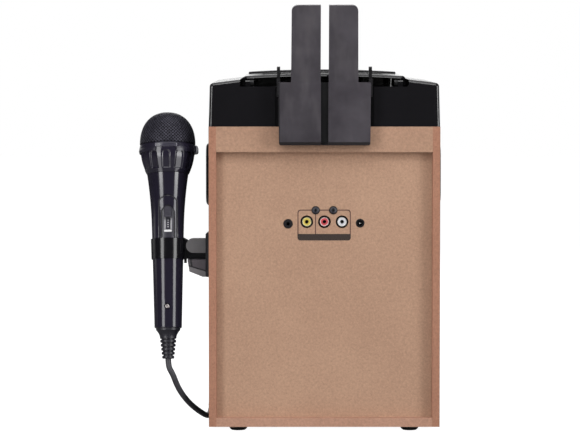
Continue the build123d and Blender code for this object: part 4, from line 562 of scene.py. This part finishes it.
def bracket_satin():
    """Satin bracket of one plastic, painted lighter and darker by face: the wall plate near black as painted
    shade, the lug paler as painted light, and the wedge darker as painted shade, with its bevelled foot
    painted lighter as lit and a groove along that foot.
    """
    plate_xs, wedge_heights, soft = (0.1186, 0.1190), (0.1735, 0.1745), 0.0003
    slant_rise, slant_height, groove_width = 0.30, 0.12535, 0.0013
    edge_run, edge_x, side_line = 0.15, 0.10965, (0.0008, 0.0026)
    g = Graph("bracket_satin")
    x, height = g.axis("X"), g.axis("Z")
    plate = g.spread(x, *plate_xs, 1.0, 0.0)
    wedge = g.spread(height, *wedge_heights, 1.0, 0.0)
    above_slant = g.math("SUBTRACT", height, g.math("MULTIPLY_ADD", x, slant_rise, slant_height))
    inside_edge = g.math("SUBTRACT", g.math("MULTIPLY_ADD", height, edge_run, edge_x), x)
    foot = g.math("MULTIPLY", g.spread(above_slant, -soft, soft, 1.0, 0.0), wedge)
    groove = g.math("MULTIPLY", g.window(above_slant, 0.0, groove_width, soft), wedge)
    side = g.math("MULTIPLY", g.window(inside_edge, *side_line, soft), g.math("SUBTRACT", wedge, foot))
    lines = g.math("MAXIMUM", groove, side, clamp=True)
    smear = g.noise(30.0, 4.0)
    # The base tone, kept on the lug: paler, as painted light on a face turned towards the lamps.
    tone = g.drift(smear, (0.094, 0.088, 0.092), (0.128, 0.122, 0.126))
    # Painted shade: the wedge darker than the lug.
    tone = g.mix(wedge, tone, (0.070, 0.060, 0.068))
    # Painted light: the wedge's bevelled foot lighter, as if lit.
    tone = g.mix(foot, tone, (0.150, 0.140, 0.146))
    tone = g.mix(lines, tone, (0.006, 0.0055, 0.007))
    # Painted shade: the wall plate near black.
    tone = g.mix(plate, tone, (0.010, 0.0095, 0.012))
    relief = g.math("SUBTRACT", 1.0, lines)
    return g.set(
        colour=tone, rough=g.spread(smear, 0.3, 0.7, 0.4, 0.52), spec=0.4,
        normal=g.bump(relief, 0.0005, 0.8, under=g.bump(g.noise(1200.0, 2.0), 0.00003)),
    )


dress(holder_satin(), "holder_body")
# The hooks painted near black as painted shade: they sit in the shaded gap of the wall pocket.
dress(moulded("hook_painted_shade", (0.0075, 0.0070, 0.0085), (0.3, 0.42)), "holder_hooks")
# The spine painted near black with little shine, as painted shade deep in the holder's groove.
dress(moulded("spine_black", (0.0028, 0.0028, 0.0034), (0.4, 0.55), spec=0.2), "holder_spine")
dress(bracket_satin(), "mic_bracket")
dress(moulded("clip_black", (0.0062, 0.0058, 0.0080), (0.13, 0.20), 1200.0, 0.000004), "mic_clip")

# ------------------------------------------------------------------ microphone
MIC_BLACK = (0.0185, 0.0160, 0.0290)
MIC_TILT, MIC_LEAN = math.radians(8.0), math.radians(0.5)
BALL_FOOT = 0.2162  # heights on the microphone are along its axis, from its foot
SWITCH_X = -0.0010

# The microphone's foot and axis, for what is placed along it.
mic_foot = Vector((0.1564, 0.112, 0.0738))
mic_axis = Vector((math.sin(MIC_LEAN), -math.sin(MIC_TILT), math.cos(MIC_TILT))).normalized()
mic_across = (Vector((1.0, 0.0, 0.0)) - mic_axis * mic_axis.x).normalized()
mic_basis = Matrix((mic_across, mic_axis.cross(mic_across), mic_axis)).transposed()
mic_matrix = Matrix.Translation(mic_foot) @ mic_basis.to_4x4()
mic_gloss = moulded("mic_shell", MIC_BLACK, (0.10, 0.15), 1300.0, 0.000004, 0.06)


def handle_shell():
    """The glossy handle, with a fine groove round the arched pad and a satin field round the switch."""
    clip_top, front_ys = (0.1204, 0.1208), (0.004, 0.005)
    pad_arch, field_arch = (0.0089, 0.1631, 0.0050), (0.0064, 0.1529, 0.0060)  # half width, top and rise
    pad_groove, field_groove, soft = (-0.0006, 0.0004), (-0.0006, 0.0005), 0.0003
    g = Graph("mic_handle")
    x, y, height = g.along(mic_foot, mic_basis)
    aside = g.math("ABSOLUTE", g.math("SUBTRACT", x, SWITCH_X))
    front = g.math("MULTIPLY", g.spread(y, *front_ys), g.spread(height, *clip_top))

    def inside(half, top, rise):
        """How far a place is inside an arched outline, in metres."""
        share = g.math("DIVIDE", aside, half)
        crown = g.math("SUBTRACT", top, g.math("MULTIPLY", g.math("MULTIPLY", share, share), rise))
        return g.math("MINIMUM", g.math("SUBTRACT", half, aside), g.math("SUBTRACT", crown, height))

    pad, sunk = inside(*pad_arch), inside(*field_arch)
    field = g.math("MULTIPLY", g.spread(sunk, 0.0, soft), front)
    lines = g.math("MAXIMUM", g.window(pad, *pad_groove, soft), g.window(sunk, *field_groove, soft))
    groove = g.math("MULTIPLY", lines, front)
    tone = g.drift(g.noise(18.0, 4.0), shade(MIC_BLACK, 0.94), shade(MIC_BLACK, 1.06))
    tone = g.mix(field, tone, (0.036, 0.034, 0.047))
    tone = g.mix(groove, tone, (0.004, 0.0038, 0.006))
    smear = g.spread(g.noise(40.0, 5.0, 0.65), 0.3, 0.7, 0.10, 0.15)
    rough = g.math("ADD", smear, g.math("MULTIPLY", g.math("MAXIMUM", field, groove), 0.24))
    relief = g.math("SUBTRACT", 1.0, groove)
    grain = g.bump(g.noise(1300.0, 2.0), 0.000004)
    return g.set(colour=tone, rough=rough, normal=g.bump(relief, 0.0004, 0.8, under=grain))


def ring_shell():
    """Dark ring, with its flat front and rear bands painted paler as painted light, painted highlights at the
    ends of those bands, and its anti-roll lug in a pale grey.
    """
    band_half, lug_xs = 0.0104, (-0.0294, -0.0289)
    end_xs, end_heights = (0.0102, 0.0109), (0.2116, 0.2146)
    g = Graph("mic_ring")
    x, _, height = g.along(mic_foot, mic_basis)
    smear = g.noise(60.0, 4.0)
    # Painted highlights: thin bright lines at the ends of the bands.
    ends = g.math("MULTIPLY", g.window(g.math("ABSOLUTE", x), *end_xs, 0.0001),
                  g.window(height, *end_heights, 0.0002))
    tone = g.drift(smear, shade(MIC_BLACK, 0.9), shade(MIC_BLACK, 1.1))
    # Painted light: the flat bands lighter than the rest of the ring.
    tone = g.mix(g.window(x, -band_half, band_half, 0.0002), tone, (0.050, 0.047, 0.066))
    tone = g.mix(ends, tone, (0.34, 0.33, 0.38))
    tone = g.mix(g.spread(x, *lug_xs, 1.0, 0.0), tone, (0.30, 0.30, 0.32))
    return g.set(
        colour=tone, rough=g.spread(smear, 0.3, 0.7, 0.2, 0.3), normal=g.bump(g.noise(1300.0, 2.0), 0.000008),
    )


def woven_wire():
    """A woven wire mesh over dark foam, laid out along the ball's girth and height."""
    pitch, pairs_round, bulge = 0.00165, 50, 0.0285
    middle, crown_heights = 0.004, (0.0262, 0.0275)
    g = Graph("mic_wire")
    x, y, z = g.along(mic_foot + mic_axis * BALL_FOOT, mic_basis)
    girth = g.math("MULTIPLY", g.math("ARCTAN2", y, x), pairs_round / math.pi)
    rise = g.math("MULTIPLY", g.math("ARCTAN2", g.math("SUBTRACT", z, middle), g.length(x, y)), bulge / pitch)
    crown = g.spread(z, *crown_heights)

    def wires(across, up):
        """How near a place is to one of two crossing families of wires, one at its middle."""
        one = g.math("SINE", g.math("MULTIPLY", g.math("ADD", across, up), math.pi / 2))
        other = g.math("SINE", g.math("MULTIPLY", g.math("SUBTRACT", across, up), math.pi / 2))
        return g.math("MAXIMUM", g.math("ABSOLUTE", one), g.math("ABSOLUTE", other))

    side = wires(girth, rise)
    top = wires(g.math("DIVIDE", x, pitch), g.math("DIVIDE", y, pitch))
    height = g.math("ADD", g.math("MULTIPLY", side, g.math("SUBTRACT", 1.0, crown)),
                    g.math("MULTIPLY", top, crown))
    wire = g.spread(height, 0.86, 0.96)
    foam_tone = g.drift(g.noise(1800.0, 4.0, 0.7), (0.0015, 0.0014, 0.0024), (0.006, 0.0055, 0.009))
    wire_tone = g.drift(g.noise(260.0, 3.0, 0.6), (0.026, 0.024, 0.037), (0.068, 0.065, 0.090))
    return g.set(
        colour=g.mix(wire, foam_tone, wire_tone), metal=g.math("MULTIPLY", wire, 0.3),
        rough=g.spread(wire, 0.0, 1.0, 0.95, 0.46), spec=0.3, normal=g.bump(height, 0.0004, 0.6),
    )


dress(handle_shell(), "mic_body")
dress(moulded("relief_rubber", (0.018, 0.017, 0.025), (0.32, 0.46), 900.0, 0.00002), "mic_strain_relief")
dress(moulded("mic_foam", (0.012, 0.012, 0.014), (0.85, 1.0), 900.0, 0.0003), "mic_capsule")
dress(moulded("mic_switch", (0.055, 0.052, 0.068), (0.26, 0.38), 900.0, 0.00001, 0.06), "mic_switch")


def collar_shell():
    """The flared collar: a barrelled form with a soft-walled, arched flute in each of its twelve sides."""
    low, high, middle = Vector((0.0215, 0.1864)), Vector((0.0276, 0.2114)), Vector((0.0251, 0.1955))
    flutes, columns, rows = 12, 30, 64
    half, flute_low, flute_high, wall, depth = 0.0045, 0.1900, 0.2088, 0.0014, 0.00115
    # The collar's side is the arc through three (radius, height) points.
    chord, bend = high - low, middle - low
    scale = 2.0 * (chord.x * bend.y - chord.y * bend.x)
    centre_r = low.x + (bend.y * chord.length_squared - chord.y * bend.length_squared) / scale
    centre_h = low.y + (chord.x * bend.length_squared - bend.x * chord.length_squared) / scale
    radius = math.hypot(low.x - centre_r, low.y - centre_h)
    outward = 1.0 if low.x > centre_r else -1.0
    count = flutes * columns
    vertices, faces = [], []
    for row in range(rows + 1):
        height = low.y + chord.y * row / rows
        reach = centre_r + math.sqrt(max(0.0, radius ** 2 - (height - centre_h) ** 2)) * outward
        for column in range(count):
            angle = 2 * math.pi * column / count
            turn = column % columns / columns * 2 * math.pi / flutes + math.pi / flutes
            offset = turn % (2 * math.pi / flutes) - math.pi / flutes
            across = abs(offset) * reach
            if height > flute_high - half:
                inside = half - math.hypot(across, height - flute_high + half)
            else:
                inside = min(half - across, height - flute_low)
            near = reach + ((reach - depth) / math.cos(offset) - reach) * eased(inside / wall)
            bearing = angle + math.pi / 2
            vertices.append((near * math.cos(bearing), near * math.sin(bearing), height))
    for row in range(rows):
        for column in range(count):
            after = (column + 1) % count
            here, there = row * count, (row + 1) * count
            faces.append((here + column, here + after, there + after, there + column))
    vertices += [(0.0, 0.0, low.y), (0.0, 0.0, high.y)]
    for column in range(count):
        after = (column + 1) % count
        faces.append((column, after, len(vertices) - 2))
        faces.append((rows * count + column, rows * count + after, len(vertices) - 1))
    shell = piece("collar_shell", vertices, faces, mic_gloss, "microphone", mic_matrix, smooth=True)
    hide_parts("mic_collar")


def ball_shell():
    """The wire ball as a closed shell of even wall, domed a little fuller than a sphere."""
    radius, height, wall, power, steps = 0.0281, 0.0330, 0.0010, 2.25, 36
    outline = []
    for inset, order in ((0.0, range(steps + 1)), (wall, range(steps, -1, -1))):
        for step in order:
            share = math.sin(math.pi / 2 * step / steps)
            reach = (radius - inset) * (1.0 - share ** power) ** (1.0 / power)
            outline.append((reach, BALL_FOOT + (height - inset) * share))
    outline.append(outline[0])
    shell = turned("mic_ball", outline, woven_wire(), "microphone", mic_matrix, 96)
    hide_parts("mic_grille")


collar_shell()
dress(ring_shell(), "mic_ring")
ball_shell()

# Thin trim of the switch: its rails, its raised lip and four grip dots, and the cord clamp's screw.
FIELD_FACE, RAIL_FACE, DOT_FACE = 0.01361, 0.01385, 0.01378
RAIL_XS, RAIL_WIDTH, RAIL_LOW, RAIL_HIGH = (-0.0050, 0.0014), 0.0016, 0.1292, 0.1420
LIP_BOX, LIP_RADII = (-0.0049, 0.1262, 0.0029, 0.1284), (0.0009, 0.0009, 0.0003, 0.0003)
LIP_BACK, LIP_FACE = 0.0157, 0.01662
DOT_LOW, DOT_PITCH, DOT_RADIUS, DOT_COUNT = 0.1316, 0.0022, 0.0006, 4
SCREW_PLACE = (0.0, 0.01254, 0.0519)
SCREW_OUTLINE = [(0.0, 0.0), (0.0004, 0.0), (0.0006, 0.0007), (0.0014, 0.0011), (0.0020, 0.0009),
                 (0.0023, 0.0003), (0.0023, 0.0)]

trim = moulded("mic_trim", (0.62, 0.61, 0.64), (0.3, 0.42), 900.0, 0.00001, 0.05)
trim_bright = moulded("mic_trim_bright", (0.86, 0.85, 0.86), (0.25, 0.36), 900.0, 0.00001, 0.04)
switch_side = mic_matrix @ Matrix(((1, 0, 0, 0), (0, 0, 1, 0), (0, 1, 0, 0), (0, 0, 0, 1)))
rails = [oblong(x, RAIL_LOW, x + RAIL_WIDTH, RAIL_HIGH) for x in RAIL_XS]
slab("switch_rails", rails, FIELD_FACE, RAIL_FACE, trim, "microphone", switch_side)
slab("switch_lip", [rounded(*LIP_BOX, LIP_RADII, 3)], LIP_BACK, LIP_FACE, trim_bright,
     "microphone", switch_side)
dots = [disc(SWITCH_X, DOT_LOW + DOT_PITCH * step, DOT_RADIUS) for step in range(DOT_COUNT)]
slab("switch_dots", dots, FIELD_FACE, DOT_FACE, trim, "microphone", switch_side)
screw_place = mic_matrix @ Matrix.Translation(SCREW_PLACE) @ Matrix.Rotation(math.radians(-90.0), 4, "X")
turned("cord_clamp_screw", SCREW_OUTLINE, metal("screw_zinc", (0.50, 0.46, 0.46), (0.24, 0.34)),
       "microphone", screw_place, 28)

# ------------------------------------------------------------------ cord
CORD_RADIUS = 0.0029
COIL_X, COIL_Y = 0.070, -0.1719
COIL_RADII = (0.0353, 0.0294, 0.0235)
COIL_HEIGHTS = (0.0030, 0.0089, 0.0148, 0.0207)
COIL_STEPS = 16  # control points to a turn
CROSS_FROM, CROSS_OVER = 0.70, 0.24  # the share of a turn in which the lead crosses to the next seat
SPLINE_PULL = 0.987  # the spline's radius as a share of its control circle's, at this many points

route = [
    tuple(mic_foot), tuple(mic_foot - mic_axis * 0.008),
    (0.1517, 0.1125, 0.0581), (0.1481, 0.1070, 0.0466), (0.1428, 0.0980, 0.0354), (0.1349, 0.0800, 0.0229),
    (0.1248, 0.0480, 0.0100), (0.1199, 0.0160, 0.0030), (0.1193, -0.0100, 0.0030), (0.1194, -0.0360, 0.0030),
    (0.1198, -0.0620, 0.0030), (0.1212, -0.0880, 0.0030), (0.1208, -0.1090, 0.0030),
    (0.1150, -0.1270, 0.0030), (0.0985, -0.1353, 0.0030), (0.0780, -0.1369, 0.0030),
]
tail = [
    (0.0640, -0.1369, 0.0207), (0.0490, -0.1368, 0.0144), (0.0360, -0.1370, 0.0063),
    (0.0200, -0.1370, 0.0063),
]


def coil_points():
    """Control points of the stored lead: four layers of three turns, in and out by turns."""
    seats = []
    for level, height in enumerate(COIL_HEIGHTS):
        order = COIL_RADII if level % 2 == 0 else COIL_RADII[::-1]
        seats += [(radius, height) for radius in order]
    points = []
    for index in range(len(seats) * COIL_STEPS + 1):
        turn, step = divmod(index, COIL_STEPS)
        share = eased((step / COIL_STEPS - CROSS_FROM) / CROSS_OVER)
        here = seats[min(turn, len(seats) - 1)]
        after = seats[min(turn + 1, len(seats) - 1)]
        radius = (here[0] + (after[0] - here[0]) * share) / SPLINE_PULL
        height = here[1] + (after[1] - here[1]) * share
        angle = math.pi / 2 + 2 * math.pi * index / COIL_STEPS
        points.append((COIL_X + radius * math.cos(angle), COIL_Y + radius * math.sin(angle), height))
    return points


def cord_mesh(bevel):
    """The cord's one spline, as a mesh of its centreline or of its round sheath."""
    curve = bpy.data.curves.new("microphone_cord", "CURVE")
    curve.dimensions = "3D"
    spline = curve.splines.new("NURBS")
    points = route + coil_points() + tail
    spline.points.add(len(points) - 1)
    for point, place in zip(spline.points, points):
        point.co = (*place, 1.0)
    spline.order_u = 3
    spline.use_endpoint_u = True
    spline.resolution_u = 6
    curve.bevel_depth = bevel
    curve.bevel_resolution = 5
    curve.use_fill_caps = True
    holder = bpy.data.objects.new("microphone_cord", curve)
    mesh = bpy.data.meshes.new_from_object(holder)
    bpy.data.objects.remove(holder)
    return mesh


centreline = [tuple(vertex.co) for vertex in cord_mesh(0.0).vertices]
cord = bpy.data.objects.new("microphone_cord", cord_mesh(CORD_RADIUS))
scene.collection.objects.link(cord)
cord.data.materials.clear()
cord.data.materials.append(moulded("cord_sheath", (0.060, 0.058, 0.068), (0.46, 0.58), 700.0, 0.00003))
cord.data.polygons.foreach_set("use_smooth", [True] * len(cord.data.polygons))
tuple(route[7])
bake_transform(cord)
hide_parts("mic_cord", "cord_coil")

# ------------------------------------------------------------------ studio
WHITE = (1.0, 1.0, 1.0)
AMBIENT, HORIZON_GLOW = 0.045, 0.95
HORIZON_FADE = (0.09, 0.18)  # height of a ray's direction
FRONT_FADE = (-0.35, 0.0)
FLAG_X, FLAG_X_EDGE, FLAG_Z = (-0.050, 0.019), 0.004, (0.030, 0.042)  # the glow's dark patch, for the lid
FLOOR_HALF = 30.0
CARD_BEARINGS, CARD_EDGE = ((0.75, 1.11), (2.34, 2.72)), 0.02  # radians about the microphone
CARD_START, CARD_STRENGTH = (0.30, 0.34), 3.2
MIC_SEAT = (0.157, 0.097, 0.2)
MACHINE_MIDDLE = (0.0, 0.0, 0.2)

# The world is white to the camera. All else sees dim light, and on the machine's front side a glowing
# horizon with one dark patch.
world = bpy.data.worlds.new("studio")
scene.world = world
world.use_nodes = True
sky = Graph(tree=world.node_tree)
background = world.node_tree.nodes["Background"]
seen = sky.add("ShaderNodeLightPath").outputs["Is Camera Ray"]
towards = sky.add("ShaderNodeTexCoord").outputs["Generated"]
towards_x, towards_y, towards_z = (sky.axis(name, towards) for name in "XYZ")
horizon = sky.spread(sky.math("ABSOLUTE", towards_z), *HORIZON_FADE, 1.0, 0.0)
front = sky.spread(towards_y, *FRONT_FADE, 1.0, 0.0)
flag = sky.math("MULTIPLY", sky.window(towards_x, *FLAG_X, FLAG_X_EDGE), sky.spread(towards_z, *FLAG_Z))
glow = sky.math("MULTIPLY", sky.math("MULTIPLY", horizon, front), sky.math("SUBTRACT", 1.0, flag))
ambient = sky.math("MULTIPLY_ADD", glow, HORIZON_GLOW, AMBIENT)
sky.link(sky.math("MAXIMUM", ambient, seen), background.inputs["Strength"])
background.inputs["Color"].default_value = (*WHITE, 1.0)

# The floor is white to the camera, and shows two bright cards on the camera's side to glossy rays.
floor_mesh = bpy.data.meshes.new("floor")
floor_mesh.from_pydata([(x, y, 0) for x, y in oblong(-FLOOR_HALF, -FLOOR_HALF, FLOOR_HALF, FLOOR_HALF)],
                       [], [(0, 1, 2, 3)])
floor = bpy.data.objects.new("floor", floor_mesh)
scene.collection.objects.link(floor)
g = Graph("floor_white")
path = g.add("ShaderNodeLightPath")
bearing = g.math("ARCTAN2", g.math("SUBTRACT", g.axis("Y"), MIC_SEAT[1]),
                 g.math("SUBTRACT", g.axis("X"), MIC_SEAT[0]))
cards = g.math("ADD", *(g.window(bearing, low, high, CARD_EDGE) for low, high in CARD_BEARINGS))
cards = g.math("MULTIPLY", cards, g.spread(g.axis("Y"), *CARD_START))
shine = g.math("MULTIPLY", cards, g.math("MULTIPLY", path.outputs["Is Glossy Ray"], CARD_STRENGTH))
floor_mesh.materials.append(g.set(
    colour=g.mix(g.noise(2.0), (0.30, 0.30, 0.30), (0.34, 0.34, 0.34)), rough=0.9, spec=0.0,
    emission=WHITE, glow=g.math("ADD", path.outputs["Is Camera Ray"], shine),
))


def softbox(name, place, target, width, height, radiance):
    """A rectangular area light of an even radiance, turned to its target."""
    data = bpy.data.lights.new(name, "AREA")
    data.shape = "RECTANGLE"
    data.size = width
    data.size_y = height
    data.energy = radiance * math.pi * width * height
    made = bpy.data.objects.new(name, data)
    scene.collection.objects.link(made)
    made.location = place
    made.rotation_euler = (Vector(target) - Vector(place)).to_track_quat("-Z", "Y").to_euler()


softbox("softbox_left", (1.555, 1.986, 0.62), MIC_SEAT, 0.86, 1.5, 6.2)
softbox("softbox_right", (-1.768, 1.445, 0.62), MIC_SEAT, 0.90, 1.5, 6.2)
softbox("key_above", (0.0, 1.75, 1.95), (0.0, 0.1, 0.2), 1.5, 1.0, 4.6)
softbox("overhead", (0.0, 0.1, 2.1), MACHINE_MIDDLE, 1.6, 1.3, 1.8)
softbox("front_fill", (0.3, -2.6, 1.5), MACHINE_MIDDLE, 1.4, 1.2, 3.0)
